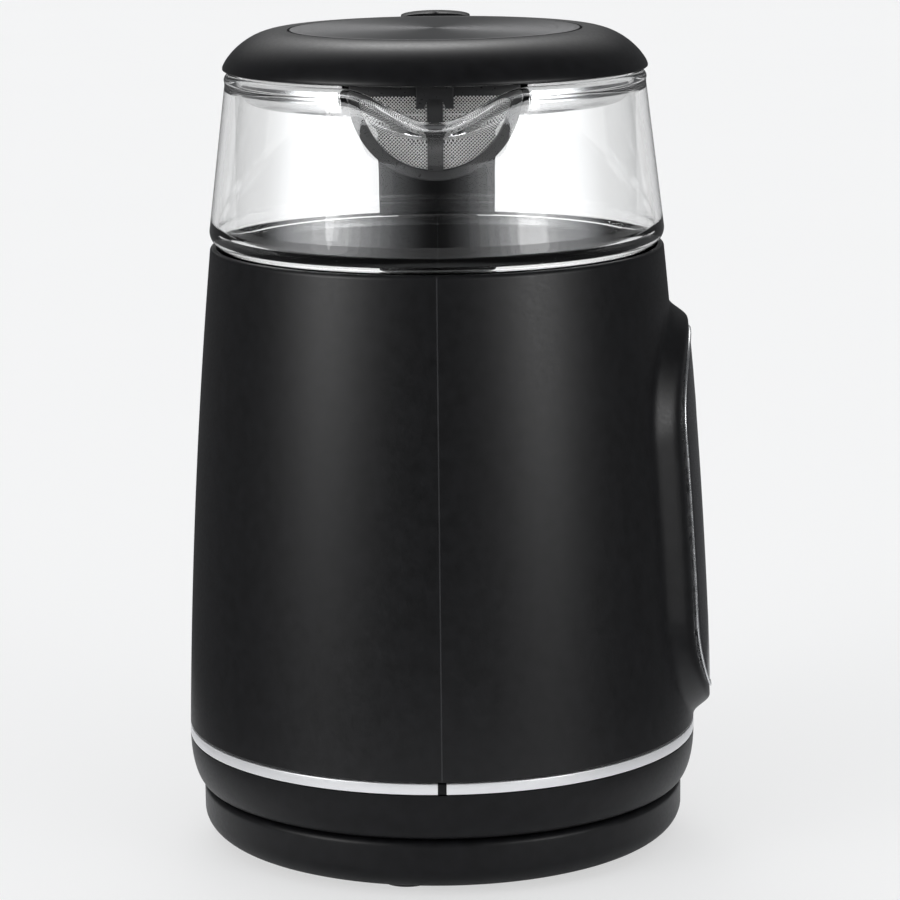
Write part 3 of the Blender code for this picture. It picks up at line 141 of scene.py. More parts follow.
RIM_RADIUS = 63.6
RIM_BEAD = 2.0
GLASS_WALL = 2.4
GLASS_BOTTOM = low("glass_jug")
GLASS_BOTTOM_RADIUS = 69.6
SHOULDER_RADIUS = 68.9
SHOULDER_HEIGHT = 4.6
SHOULDER_BOTTOM = SLEEVE_TOP + GAP
NECK_RADIUS = 65.2
NECK_TOP = SLEEVE_TOP - 0.6
NECK_BOTTOM = SLEEVE_TOP - 4.0
NECK_FLARE_TOP = SLEEVE_TOP - 8.0
NECK_BLEND = 0.1
BEAD_BLEND = (0.15, 0.4)
SHOULDER_BLEND = 0.2
INNER_NECK = (SLEEVE_TOP - 3.0, SLEEVE_TOP + 1.0)
INNER_NECK_STEP = 0.3
INNER_SHOULDER = (1.2, 1.0)
INNER_WALL_START = (0.15, 3.0)
INNER_WALL_END = 0.1
LIP_HALF_WIDTH = 27.0
LIP_REACH = 10.5
LIP_DIP = 8.5
LIP_DEPTH = 22.0
LIP_SWELL = 0.7
LID_RADIUS = radius("lid_cover")
LID_BOTTOM = RIM_TOP + 0.9
LID_TOP = high("lid_cover")
LID_EDGE = 0.8
LID_SLACK = 1.55
LID_FLAT_RADIUS = 46.6
LID_WALL = 2.0
LID_INNER_EDGE = (0.3, 0.5)
LID_RIM_DROP = 0.1
LID_FOOT_EDGE = (0.4, 0.3)
LID_UNDERSIDE = (6.0, 1.0)
INLAY_RADIUS = radius("lid_inlay")
INLAY_BOTTOM = low("lid_inlay")
INLAY_TOP = high("lid_inlay")
INLAY_EDGE = 0.35
INLAY_BORDER = 2.0
LINER_RADIUS = radius("lid_liner")
LINER_TOP = high("lid_liner")
LINER_BOTTOM = low("lid_liner")
LINER_CORNER = (3.5, 3.2)
LINER_WALL = 0.8
LINER_RIM = 0.5
LINER_FLAT = 2.0
NOTCH_HALF_WIDTH = 26.8
NOTCH_ROOM = 3.0
STRAINER_HALF_WIDTH = radius("strainer_frame")
STRAINER_TOP = high("strainer_frame")
STRAINER_BOTTOM = low("strainer_frame")
STRAINER_BACK = back("strainer_frame")
STRAINER_THICKNESS = 2.2
STRAINER_BAND = 4.2
STRAINER_LOW_BAND = 3.2
STRAINER_RIB = 4.6
STRAINER_BAR = 3.6
STRAINER_EDGE = 0.25
STRAINER_CORNER = 0.5
RIB_INSET = 1.0
RIB_STEP = 0.05
BAR_INSET = 0.4
BAR_STEP = 0.02
TAB_HALF_WIDTH = 5.4
TAB_HEIGHT = 7.0
TAB_REACH = 2.6
TAB_NOTCH = 3.2
TAB_ROOT = 0.2
WIRE_PITCH = 0.72
WIRE_RADIUS = 0.14
WIRE_WAVE = 0.9
WIRE_SIDES = 5
WIRE_REACH = 1.5
WIRE_TUCK = 0.6
BAR_TUCK = 0.5
HINGE_Y = (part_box("hinge_pin")[0].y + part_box("hinge_pin")[1].y) / 2 / MM - AXIS.y / MM
HINGE_Z = (low("hinge_pin") + high("hinge_pin")) / 2
BARREL_RADIUS = 4.2
BARREL_BORE = 1.8
BARREL_HALF_LENGTH = 7.0
BARREL_EDGE = 0.4
TONGUE_EDGE = 0.8
TONGUE_ROOT = 1.0
TONGUE_TOP = 242.0
BLOCK_BACK = back("hinge_block")
GRIP_HALF_WIDTH = radius("grip_outer")
GRIP_HALF_DEPTH = 11.0
GRIP_PARTING = 0.15
GRIP_EDGE = 0.5
GRIP_LINE = back("grip_outer") - GRIP_HALF_DEPTH
GRIP_TOP = high("grip_outer") - GRIP_HALF_DEPTH
GRIP_BOTTOM = low("grip_outer") + GRIP_HALF_DEPTH
GRIP_TOP_BEND = 22.0
GRIP_LOW_BEND = 24.0
BUTTON_ARCH = 1.6
BUTTON_EDGE = 0.6
SPRING_WIRE = 0.3
BLOCK_EDGE = 0.5
BLOCK_SHARP = 50
FRAME_SHARP = 35

# Counts of points, columns and turns
ROUND_COLUMNS = 240
FOOT_COLUMNS = 48
BAND_COLUMNS = 241
JOINT_COLUMNS = 9
SLEEVE_COLUMNS = 360
SLEEVE_ROWS = 240
JUG_COLUMNS = 640
LINER_COLUMNS = 360
BARREL_COLUMNS = 40
COIL_STEPS = 28
HINGE_COIL_TURNS = 3
BUTTON_COIL_TURNS = 4

# Finishes: spots per metre, depths in mm and shares
NOISE_RANGE = (0.3, 0.7)
MOTTLE_SPOTS = 260
SHINE_SPOTS = 900
LATHE_RINGS = 1500
POLISH_SPOTS = 300
POLISH_RANGE = (0.7, 1.4)
GRAIN_STRENGTH = 0.05
RELIEF_DEPTH = 0.05
# Painted highlight: paler colour added along the sleeve's mould line, standing in for the light its
# ridge catches.
SEAM_HIGHLIGHT_COLOUR = (0.02, 0.02, 0.021, 1)

# Light, floor and room; lengths in metres
LEFT_BOX = ((-0.82, -0.56, 0.22), 1.5)
RIGHT_BOX = ((0.76, -0.64, 0.10), 1.25)
TOP_BOX = ((-0.08, 1.0, 1.0), 0.85)
BOX_SPREADS = (16, 26, 36, 46, 56, 66)
FLOOR_GLOW_SHARE = 0.6
FLOOR_GLOW = 0.96
FLOOR_SHADES = ((0.895, 0.895, 0.895), (0.905, 0.905, 0.905))
FLOOR_REACH = 14.0
FLOOR_STEPS = 8
DIM_FLOOR = (0.22, 0.42)
DIM_FLOOR_NARROWING = 2.2
DIM_FLOOR_SHARE = 0.9
DIM_COLOUR = (0.03, 0.03, 0.032)
ROOM_COLOUR = (0.95, 0.97, 1.0)
ROOM_LIGHT = 0.60
ROOM_IN_REFLECTIONS = 0.1
ROOM_IN_PICTURE = 0.9
SCREEN_LIGHT = 3.6
SCREEN_GAP = (0.03, 0.9)
SCREEN_END = (0.2, -0.3)
SCREEN_TOP = (0.45, 0.12)

# Camera: lengths in mm, angles in degrees
CAMERA_DISTANCE = 1087.0
CAMERA_HEIGHT = 334.5
CAMERA_ASIDE = 3.3
CAMERA_TILT = 11.17
CAMERA_ROLL = -0.6
CAMERA_LENS = 144.2
CAMERA_SENSOR = 36
CAMERA_FAR = 100


def arc(middle, radii, start, end, count):
    """Points on part of an ellipse or circle, from one angle in degrees to another."""
    wide, tall = radii if isinstance(radii, tuple) else (radii, radii)
    points = []
    for i in range(count + 1):
        angle = math.radians(start + (end - start) * i / count)
        points.append((middle[0] + wide * math.cos(angle), middle[1] + tall * math.sin(angle)))
    return points


def line(start, end, count):
    """Evenly spaced points from start to end, both included."""
    points = []
    for i in range(count + 1):
        share = i / count
        points.append(tuple(a + (b - a) * share for a, b in zip(start, end)))
    return points


def filleted(points, size, count=4):
    """Closed outline with each sharp corner rounded over the given length."""
    rounded = []
    for i, point in enumerate(points):
        here = Vector(point)
        before = Vector(points[i - 1]) - here
        after = Vector(points[(i + 1) % len(points)]) - here
        reach = min(size, before.length / 2.2, after.length / 2.2)
        start = here + before.normalized() * reach
        end = here + after.normalized() * reach
        for k in range(count + 1):
            share = k / count
            curve = start * (1 - share) ** 2 + here * 2 * share * (1 - share) + end * share ** 2
            rounded.append(tuple(curve))
    return rounded


def piece(name, points, faces, sharp=40):
    """Smooth mesh from points in mm about the kettle's axis."""
    mesh = bpy.data.meshes.new(name)
    mesh.from_pydata([(AXIS.x + x * MM, AXIS.y + y * MM, z * MM) for x, y, z in points], [], faces)
    work = bmesh.new()
    work.from_mesh(mesh)
    bmesh.ops.remove_doubles(work, verts=work.verts, dist=1e-6)
    bmesh.ops.recalc_face_normals(work, faces=work.faces)
    work.to_mesh(mesh)
    work.free()
    mesh.shade_smooth()
    mesh.set_sharp_from_angle(angle=math.radians(sharp))
    thing = bpy.data.objects.new(name, mesh)
    bpy.context.scene.collection.objects.link(thing)
    return thing


def grid_faces(columns, rows, around=True, along=True, first=0):
    """Faces between neighbouring columns of points; around and along join last to first."""
    faces = []
    for i in range(columns if around else columns - 1):
        for k in range(rows if along else rows - 1):
            a = i * rows + k
            b = i * rows + (k + 1) % rows
            c = (i + 1) % columns * rows + (k + 1) % rows
            d = (i + 1) % columns * rows + k
            faces.append((first + a, first + b, first + c, first + d))
    return faces


def tube_faces(rings, count):
    """Faces of a tube of rings with count points each, closed at both ends."""
    faces = grid_faces(rings, count, around=False)
    faces.append(tuple(range(count)))
    faces.append(tuple(range((rings - 1) * count, rings * count)))
    return faces


def even_angles(count, start=0.0, sweep=TURN, closed=True):
    """Evenly spaced angles; a closed round leaves out the last, which would be the first again."""
    steps = count if closed else count - 1
    return [start + sweep * i / steps for i in range(count)]


def ring_points(outline, angles):
    """Points of an outline of (radius, height), set at each angle about the kettle's axis."""
    points = []
    for angle in angles:
        points += [(out * math.cos(angle), out * math.sin(angle), up) for out, up in outline]
    return points


def turned(name, outline, columns=ROUND_COLUMNS, rule=None, sharp=40):
    """Round piece from a closed outline of (radius, height) points; rule moves each point."""
    points = ring_points(outline, even_angles(columns))
    if rule:
        points = [rule(*point) for point in points]
    return piece(name, points, grid_faces(columns, len(outline)), sharp)


def joined(name, parts, sharp=40):
    """One piece from several lists of points and faces."""
    points = []
    faces = []
    for some_points, some_faces in parts:
        first = len(points)
        points += some_points
        faces += [tuple(first + i for i in face) for face in some_faces]
    return piece(name, points, faces, sharp)


def slab(outline, start, end, edge, place):
    """Plate with softened edges from a flat outline; place turns (across, up, deep) into a point."""
    middle = (sum(p[0] for p in outline) / len(outline), sum(p[1] for p in outline) / len(outline))
    inner = []
    for across, up in outline:
        away = Vector((across - middle[0], up - middle[1]))
        away -= away.normalized() * edge
        inner.append((middle[0] + away.x, middle[1] + away.y))
    direction = 1 if end > start else -1
    rings = [
        [(a, u, start) for a, u in inner],
        [(a, u, start + direction * edge) for a, u in outline],
        [(a, u, end - direction * edge) for a, u in outline],
        [(a, u, end) for a, u in inner],
    ]
    points = [place(*point) for ring in rings for point in ring]
    return points, tube_faces(len(rings), len(outline))


def rectangle(left, right, bottom, top):
    """Corners of an upright rectangle."""
    return [(left, bottom), (right, bottom), (right, top), (left, top)]


def facing_front(depth):
    """Place for slabs that face the front: deep runs backwards from the given depth."""
    return lambda across, up, deep: (across, depth + deep, up)


def sideways(across, up, deep):
    """Place for slabs cut from the side: across runs backwards and deep runs to the right."""
    return deep, across, up


def pipe(path, size, sides=8):
    """Round tube of the given radius along a list of points, closed at both ends."""
    points = []
    for i, point in enumerate(path):
        here = Vector(point)
        along = (Vector(path[min(i + 1, len(path) - 1)]) - Vector(path[max(i - 1, 0)])).normalized()
        if i == 0:
            side = along.orthogonal()
        side = (side - along * side.dot(along)).normalized()
        other = along.cross(side)
        for angle in even_angles(sides):
            points.append(tuple(here + (side * math.cos(angle) + other * math.sin(angle)) * size))
    return points, tube_faces(len(path), sides)


def ease(share):
    """Soft step from 0 to 1."""
    share = min(max(share, 0.0), 1.0)
    return share * share * (3 - 2 * share)


def sleeve_radius(height):
    """Outer radius of the sleeve, tapered and slightly convex."""
    share = (height - SLEEVE_BOTTOM) / (SLEEVE_TOP - SLEEVE_BOTTOM)
    return BAND_RADIUS - SLEEVE_TAPER * share + 4 * SLEEVE_BULGE * share * (1 - share)


def stadium_distance(across, up, half_width, half_height):
    """Distance outside an upright stadium, less than nothing inside it."""
    beyond = max(abs(up) - (half_height - half_width), 0.0)
    return math.hypot(across, beyond) - half_width


def boss_height(across, height):
    """How far the moulded boss stands out of the sleeve."""
    up = height - PANEL_MIDDLE
    half_width = PANEL_HALF_WIDTH + BOSS_MARGIN
    half_height = PANEL_HALF_HEIGHT + BOSS_MARGIN
    outside_face = stadium_distance(across, up, half_width, half_height)
    if outside_face <= 0:
        return BOSS_LIFT
    inside_foot = -stadium_distance(across, up, half_width + BOSS_FOOT[0], half_height + BOSS_FOOT[1])
    if inside_foot <= 0:
        return 0.0
    return BOSS_LIFT * ease(inside_foot / (inside_foot + outside_face))


def with_boss(x, y, z):
    """Sleeve point moved out onto the boss, and in again under the panel."""
    out = math.hypot(x, y)
    wall = sleeve_radius(z)
    if out < wall - SLEEVE_WALL / 2:
        return x, y, z
    angle = math.atan2(y, x)
    lift = boss_height(angle * wall, z)
    from_panel = stadium_distance(y, z - PANEL_MIDDLE, PANEL_HALF_WIDTH, PANEL_HALF_HEIGHT)
    if x > 0 and from_panel < -TRIM_WIDTH * TRIM_COVER:
        lift -= RECESS
    share = (out + lift) / out
    return x * share, y * share, z


def panel_point(across, up, lift):
    """Point on the boss's face, across and up from the panel's middle."""
    height = PANEL_MIDDLE + up
    face = sleeve_radius(height) + BOSS_LIFT
    depth = math.sqrt(face * face - across * across)
    share = (face + lift) / face
    return depth * share, across * share, height


def pour_lip(x, y, z):
    """Glass point moved out and down where the rim is pulled into a lip with a thicker bead."""
    if y > 0 or abs(x) > LIP_HALF_WIDTH:
        return x, y, z
    width_share = math.cos(math.pi * x / (2 * LIP_HALF_WIDTH)) ** 2
    near_rim = ease((z - RIM_TOP + 5 * RIM_BEAD) / (3 * RIM_BEAD))
    swell = 1 + LIP_SWELL * width_share * near_rim
    out = math.hypot(x, y)
    swollen = RIM_RADIUS + (out - RIM_RADIUS) * swell
    x *= swollen / out
    y *= swollen / out
    if z > RIM_TOP - 2 * RIM_BEAD:
        z = RIM_TOP + (z - RIM_TOP) * swell
    else:
        z -= 2 * RIM_BEAD * (swell - 1)
    height_share = ease((z - RIM_TOP + LIP_DEPTH) / LIP_DEPTH)
    return x, y - LIP_REACH * width_share * height_share, z - LIP_DIP * width_share * height_share ** 2


# Materials


def plain(name, colour, roughness, metallic=0.0, specular=0.5):
    """New material with its principled shader set up."""
    material = bpy.data.materials.new(name)
    material.use_nodes = True
    shader = material.node_tree.nodes["Principled BSDF"]
    shader.inputs["Base Color"].default_value = (*colour, 1)
    shader.inputs["Roughness"].default_value = roughness
    shader.inputs["Metallic"].default_value = metallic
    shader.inputs["Specular IOR Level"].default_value = specular
    return material, shader


def node(neighbour, kind):
    """New node in the tree that a node or socket belongs to."""
    return neighbour.id_data.nodes.new("ShaderNode" + kind)


def link(start, end):
    """Join two sockets."""
    start.id_data.links.new(start, end)


def placed(neighbour, location=(0, 0, 0), scale=(1, 1, 1)):
    """Place on the piece, moved and scaled."""
    place = node(neighbour, "TexCoord")
    mapping = node(neighbour, "Mapping")
    mapping.inputs["Location"].default_value = location
    mapping.inputs["Scale"].default_value = scale
    link(place.outputs["Object"], mapping.inputs["Vector"])
    return mapping.outputs["Vector"]


def length(vector):
    """Length of a vector."""
    measured = node(vector, "VectorMath")
    measured.operation = "LENGTH"
    link(vector, measured.inputs[0])
    return measured.outputs["Value"]


def noise(shader, scale, detail=2.0, stretch=(1, 1, 1)):
    """Noise fixed to the piece; scale is in spots per metre."""
    texture = node(shader, "TexNoise")
    texture.inputs["Scale"].default_value = scale
    texture.inputs["Detail"].default_value = detail
    link(placed(shader, scale=stretch), texture.inputs["Vector"])
    return texture.outputs["Fac"]


def vary_roughness(shader, value, lowest, highest):
    """Let the roughness change with the noise."""
    ranged = node(shader, "MapRange")
    ranged.inputs["From Min"].default_value = NOISE_RANGE[0]
    ranged.inputs["From Max"].default_value = NOISE_RANGE[1]
    ranged.inputs["To Min"].default_value = lowest
    ranged.inputs["To Max"].default_value = highest
    link(value, ranged.inputs["Value"])
    link(ranged.outputs["Result"], shader.inputs["Roughness"])


def vary_colour(shader, value, dark, pale):
    """Let the colour change with the noise."""
    ramp = node(shader, "ValToRGB")
    for stop, position, colour in zip(ramp.color_ramp.elements, NOISE_RANGE, (dark, pale)):
        stop.position = position
        stop.color = (*colour, 1)
    link(value, ramp.inputs["Fac"])
    link(ramp.outputs["Color"], shader.inputs["Base Color"])


def relief(shader, value, strength, depth):
    """Fine relief of the surface, with its depth in mm."""
    bump = node(shader, "Bump")
    bump.inputs["Strength"].default_value = strength
    bump.inputs["Distance"].default_value = depth * MM
    link(value, bump.inputs["Height"])
    link(bump.outputs["Normal"], shader.inputs["Normal"])


def satin_black(name, roughness, grain, shine, dark=(0.003, 0.003, 0.0035), pale=(0.006, 0.006, 0.007)):
    """Black plastic with a fine moulded grain."""
    material, shader = plain(name, dark, roughness, specular=shine)
    vary_colour(shader, noise(shader, MOTTLE_SPOTS, 3), dark, pale)
    vary_roughness(shader, noise(shader, SHINE_SPOTS), roughness - 0.03, roughness + 0.03)
    relief(shader, noise(shader, grain), GRAIN_STRENGTH, RELIEF_DEPTH)
    return material


def grained(name, dark, pale, roughness, metallic=0.0, scale=700, strength=0.1):
    """Material with a mottled colour and a light relief."""
    material, shader = plain(name, dark, roughness, metallic)
    value = noise(shader, scale, 3)
    vary_colour(shader, value, dark, pale)
    vary_roughness(shader, value, roughness - 0.04, roughness + 0.04)
    relief(shader, value, strength, RELIEF_DEPTH)
    return material


def ring_value(shader, rings):
    """Value that changes with the distance from the kettle's axis only, as lathe marks do."""
    texture = node(shader, "TexNoise")
    texture.noise_dimensions = "1D"
    texture.inputs["Scale"].default_value = rings
    texture.inputs["Detail"].default_value = 4
    link(length(placed(shader, (-AXIS.x, -AXIS.y, 0), (1, 1, 0))), texture.inputs["W"])
    return texture.outputs["Fac"]


def spun_metal(name, dark, pale, roughness, stretch):
    """Metal turned on a lathe: its highlight spreads across the rings."""
    material, shader = plain(name, dark, roughness, 1.0)
    rings = ring_value(shader, LATHE_RINGS)
    vary_colour(shader, rings, dark, pale)
    vary_roughness(shader, rings, roughness - 0.05, roughness + 0.05)
    shader.inputs["Anisotropic"].default_value = stretch
    tangent = node(shader, "Tangent")
    tangent.direction_type = "RADIAL"
    tangent.axis = "Z"
    link(tangent.outputs["Tangent"], shader.inputs["Tangent"])
    return material


def bright_metal(name, colour, roughness):
    """Polished metal with faint wear in its polish."""
    material, shader = plain(name, colour, roughness, 1.0)
    lowest = roughness * POLISH_RANGE[0]
    highest = roughness * POLISH_RANGE[1]
    vary_roughness(shader, noise(shader, POLISH_SPOTS, 3), lowest, highest)
    relief(shader, noise(shader, 60), 0.03, 0.1)
    return material


def satin_metal():
    """Pale metal with a fine brushed finish along the band."""
    material, shader = plain("satin_metal", (0.93, 0.93, 0.94), 0.3, 0.55)
    strokes = noise(shader, 60, 3, (1, 1, 40))
    vary_colour(shader, strokes, (0.92, 0.92, 0.93), (0.945, 0.945, 0.955))
    vary_roughness(shader, strokes, 0.28, 0.32)
    return material


def clear_glass():
    """Clear glass with the slight waviness of a blown jug."""
    material, shader = plain("clear_glass", (0.997, 0.999, 0.998), 0.0)
    shader.inputs["Transmission Weight"].default_value = 1.0
    shader.inputs["IOR"].default_value = 1.42
    relief(shader, noise(shader, 14, 1), 0.004, 0.4)
    return material


def panel_glass():
    """Glossy dark lens of the panel."""
    material, shader = plain("panel_glass", (0.008, 0.008, 0.009), 0.08)
    value = noise(shader, 120, 2)
    vary_colour(shader, value, (0.007, 0.007, 0.008), (0.010, 0.010, 0.012))
    vary_roughness(shader, value, 0.06, 0.11)
    return material


def sleeve_black():
    """The sleeve's satin black, with the faint upright line of its mould at the front: a small ridge,
    and a paler line of painted highlight along it.
    """
    material = satin_black("sleeve_black", 0.36, 2600, 0.42)
    nodes = material.node_tree.nodes
    shader = nodes["Principled BSDF"]
    parts = node(shader, "SeparateXYZ")
    link(placed(shader), parts.inputs["Vector"])
    seam_ridge_and_highlight = node(shader, "Math")
    seam_ridge_and_highlight.operation = "COMPARE"
    seam_ridge_and_highlight.inputs[1].default_value = AXIS.x
    seam_ridge_and_highlight.inputs[2].default_value = SEAM_HALF_WIDTH * MM
    link(parts.outputs["X"], seam_ridge_and_highlight.inputs[0])
    relief(nodes["Bump"], seam_ridge_and_highlight.outputs["Value"], 1.0, SEAM_HEIGHT)
    # Painted highlight: the base colour is made paler along the mould line.
    seam_highlight = node(shader, "MixRGB")
    seam_highlight.blend_type = "ADD"
    seam_highlight.inputs["Color2"].default_value = SEAM_HIGHLIGHT_COLOUR
    link(seam_ridge_and_highlight.outputs["Value"], seam_highlight.inputs["Fac"])
    link(nodes["Color Ramp"].outputs["Color"], seam_highlight.inputs["Color1"])
    link(seam_highlight.outputs["Color"], shader.inputs["Base Color"])
    return material


SLEEVE_LOOK = sleeve_black()
BLACK = satin_black("black_plastic", 0.37, 2200, 0.25)
LID_LOOK = satin_black("lid_black", 0.32, 2200, 0.42)
# The strainer's black is paler than the other black plastics: painted sheen, standing in for the soft
# boxes' reflection on its frame.
STRAINER_LOOK = satin_black(
    "strainer_black", 0.3, 3000, 0.5, (0.014, 0.014, 0.015), (0.018, 0.018, 0.019))
DARK_METAL = spun_metal("spun_metal", (0.05, 0.05, 0.052), (0.16, 0.16, 0.165), 0.34, 0.85)
STEEL = spun_metal("steel", (0.66, 0.66, 0.66), (0.76, 0.76, 0.76), 0.2, 0.5)
SATIN_METAL = satin_metal()
CHROME = bright_metal("polished_metal", (0.90, 0.91, 0.92), 0.26)
WIRE_STEEL = bright_metal("wire_steel", (0.82, 0.82, 0.82), 0.34)
BRASS = grained("brass", (0.48, 0.33, 0.12), (0.60, 0.43, 0.18), 0.3, 1.0)
ALUMINIUM = grained("aluminium", (0.55, 0.56, 0.57), (0.68, 0.69, 0.70), 0.42, 1.0, scale=500)
RUBBER = grained(
    "grey_rubber", (0.025, 0.025, 0.026), (0.045, 0.045, 0.046), 0.75, scale=1200, strength=0.3)
SILICONE = grained("silicone", (0.55, 0.55, 0.53), (0.66, 0.66, 0.64), 0.5, scale=400)
BOARD = grained("board", (0.010, 0.055, 0.028), (0.018, 0.085, 0.045), 0.45, scale=900)
GLASS = clear_glass()
LENS = panel_glass()

LOOKS = {
    "black_plastic": BLACK,
    "grey_rubber": RUBBER,
    "steel": STEEL,
    "polished_metal": CHROME,
    "dark_metal": DARK_METAL,
    "brass": BRASS,
    "aluminium": ALUMINIUM,
    "silicone": SILICONE,
    "clear_glass": GLASS,
    "dark_lens": LENS,
    "board": BOARD,
}


def dress(thing, look, body, replaced):
    """Give a piece its material and its place in the frame."""
    thing.data.materials.clear()
    thing.data.materials.append(look)
    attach(thing, body)
    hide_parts(*replaced)


# Power base


def make_base():
    """Cover of the power base: rounded low edge, raised seat and a shallow step round it."""
    corner_wide, corner_tall = BASE_CORNER
    inside = BASE_RADIUS - corner_wide
    rim_edge = (BASE_RADIUS - BASE_RIM_EDGE, BASE_RIM_TOP - BASE_RIM_EDGE)
    outline = [
        (inside, BASE_BOTTOM),
        *arc((inside, BASE_BOTTOM + corner_tall), BASE_CORNER, -84, -4, 14),
        (BASE_RADIUS, BASE_RIM_TOP - SEAT_STEP),
        *arc(rim_edge, BASE_RIM_EDGE, 0, 90, 6),
        (BASE_SEAT_RADIUS + SEAT_STEP, BASE_RIM_TOP),
        *arc((BASE_SEAT_RADIUS, BASE_SEAT_TOP), SEAT_EDGE, 0, 90, 4),
        (PLUG_HOLE_RADIUS + PLUG_HOLE_EDGE[0], BASE_SEAT_TOP),
        (PLUG_HOLE_RADIUS, BASE_SEAT_TOP - PLUG_HOLE_EDGE[1]),
        (PLUG_HOLE_RADIUS, BASE_SEAT_TOP - SEAT_THICKNESS),
        (inside - 2 * BASE_WALL, BASE_SEAT_TOP - 2 * SEAT_THICKNESS),
        (inside - BASE_WALL, BASE_BOTTOM + BASE_WALL),
    ]
    cover = turned("base_shell", outline)
    dress(cover, BLACK, "power_base", ["base_cover"])


def make_feet():
    """Rubber feet with a soft edge and a shallow dent in the sole."""
    for number in range(1, 5):
        name = f"base_foot_{number}"
        lowest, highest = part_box(name)
        middle = (lowest + highest) / 2
        size = (highest.x - lowest.x) / 2 / MM + FOOT_SPREAD
        top = highest.z / MM
        outline = [
            (NEAR_AXIS, SOLE_DEPTH),
            (size * SOLE_SHARES[0], SOLE_DEPTH),
            (size * SOLE_SHARES[1], 0),
            (size - FOOT_EDGE, 0),
            *arc((size - FOOT_EDGE, FOOT_EDGE), FOOT_EDGE, -60, 0, 4),
            (size, top),
            (NEAR_AXIS, top),
        ]
        foot = turned(f"rubber_foot_{number}", outline, FOOT_COLUMNS)
        foot.location = (middle.x - AXIS.x, middle.y - AXIS.y, 0)
        dress(foot, RUBBER, "power_base", [name])


# Kettle body


def make_skirt():
    """Skirt under the band, curving in to the base."""
    foot = BAND_RADIUS - SKIRT_FLARE
    top = BAND_BOTTOM - GAP
    outline = [
        (foot - SKIRT_RING, SKIRT_BOTTOM),
        (foot - SKIRT_EDGE, SKIRT_BOTTOM),
        *arc((foot, top), (SKIRT_FLARE, top - SKIRT_BOTTOM), -84, 0, 18),
        (BAND_RADIUS - SKIRT_TOP_EDGE[0], top + SKIRT_TOP_EDGE[1]),
        (BAND_RADIUS - SKIRT_WALL, top),
        (foot - SKIRT_INNER[0], SKIRT_BOTTOM + SKIRT_INNER[1]),
    ]
    skirt = turned("skirt_shell", outline)
    dress(skirt, BLACK, "kettle", ["skirt"])


def part_ring(name, section, start, sweep, columns):
    """Part of a ring about the kettle's axis with the given section, closed at both ends."""
    points = ring_points(section, even_angles(columns, start, sweep, closed=False))
    return piece(name, points, tube_faces(columns, len(section)))


def make_band():
    """Pale metal band, open at the front where a small dark joint closes it."""
    half_gap = BAND_SPLIT / 2 / BAND_RADIUS
    inside = BAND_RADIUS - BAND_DEPTH
    section = filleted(rectangle(inside, BAND_RADIUS, BAND_BOTTOM, BAND_TOP), BAND_EDGE)
    band = part_ring("bright_band", section, FRONT + half_gap, TURN - 2 * half_gap, BAND_COLUMNS)
    dress(band, SATIN_METAL, "kettle", ["metal_band"])

    half_joint = half_gap * JOINT_SHARE
    joint_section = [(out - JOINT_INSET, up) for out, up in section]
    joint = part_ring("band_joint", joint_section, FRONT - half_joint, 2 * half_joint, JOINT_COLUMNS)
    dress(joint, BLACK, "kettle", ["band_clip"])


def make_sleeve():
    """Tapered sleeve with the moulded boss that carries the panel."""
    low_edge = SLEEVE_BOTTOM + SLEEVE_EDGE
    high_edge = SLEEVE_TOP - SLEEVE_EDGE
    outer = []
    for i in range(SLEEVE_ROWS + 1):
        height = low_edge + (high_edge - low_edge) * i / SLEEVE_ROWS
        outer.append((sleeve_radius(height), height))
    bottom_edge = arc((sleeve_radius(SLEEVE_BOTTOM) - SLEEVE_EDGE, low_edge), SLEEVE_EDGE, -90, -10, 4)
    top_edge = arc((sleeve_radius(SLEEVE_TOP) - SLEEVE_EDGE, high_edge), SLEEVE_EDGE, 10, 90, 4)
    inner_top = (sleeve_radius(SLEEVE_TOP) - SLEEVE_WALL, SLEEVE_TOP)
    inner_bottom = (sleeve_radius(SLEEVE_BOTTOM) - SLEEVE_WALL, SLEEVE_BOTTOM)
    outline = [*bottom_edge, *outer, *top_edge, *line(inner_top, inner_bottom, 8)]
    sleeve = turned("sleeve_shell", outline, SLEEVE_COLUMNS, with_boss, sharp=50)
    dress(sleeve, SLEEVE_LOOK, "kettle", ["sleeve"])


def stadium(half_width, half_height, count=24):
    """Outline of an upright stadium and, for each point, the nearest point of its middle line."""
    straight = half_height - half_width
    outline = []
    for across, up in arc((0, straight), half_width, 0, 180, count):
        outline.append(((across, up), (0, straight)))
    sides = line((straight, 0), (-straight, 0), count)[1:-1]
    for up, _ in sides:
        outline.append(((-half_width, up), (0, up)))
    for across, up in arc((0, -straight), half_width, 180, 360, count):
        outline.append(((across, up), (0, -straight)))
    for up, _ in reversed(sides):
        outline.append(((half_width, up), (0, up)))
    return outline


def make_panel():
    """Metal trim round the panel and the dark lens inside it."""
    outline = stadium(PANEL_HALF_WIDTH, PANEL_HALF_HEIGHT)
    inner_edge = TRIM_PROUD - TRIM_SLOPE
    corners = [(0, -RECESS), (0, TRIM_PROUD), (TRIM_WIDTH, inner_edge), (TRIM_WIDTH, -RECESS)]
    section = filleted(corners, TRIM_EDGE)
    points = []
    for (across, up), (core_across, core_up) in outline:
        towards = Vector((core_across - across, core_up - up)).normalized()
        for step, lift in section:
            points.append(panel_point(across + towards.x * step, up + towards.y * step, lift))
    trim = piece("panel_frame", points, grid_faces(len(outline), len(section)))
    dress(trim, CHROME, "kettle", ["panel_trim"])

    inset = TRIM_WIDTH + LENS_GAP
    outline = stadium(PANEL_HALF_WIDTH - inset, PANEL_HALF_HEIGHT - inset)
    rings = [*LENS_CROWN, (1.0, -RECESS)]
    points = []
    for (across, up), (core_across, core_up) in outline:
        for share, lift in rings:
            points.append(panel_point(core_across + (across - core_across) * share,
                                      core_up + (up - core_up) * share, lift))
    lens = piece("panel_face", points, grid_faces(len(outline), len(rings), along=False))
    dress(lens, LENS, "kettle", ["panel_lens"])


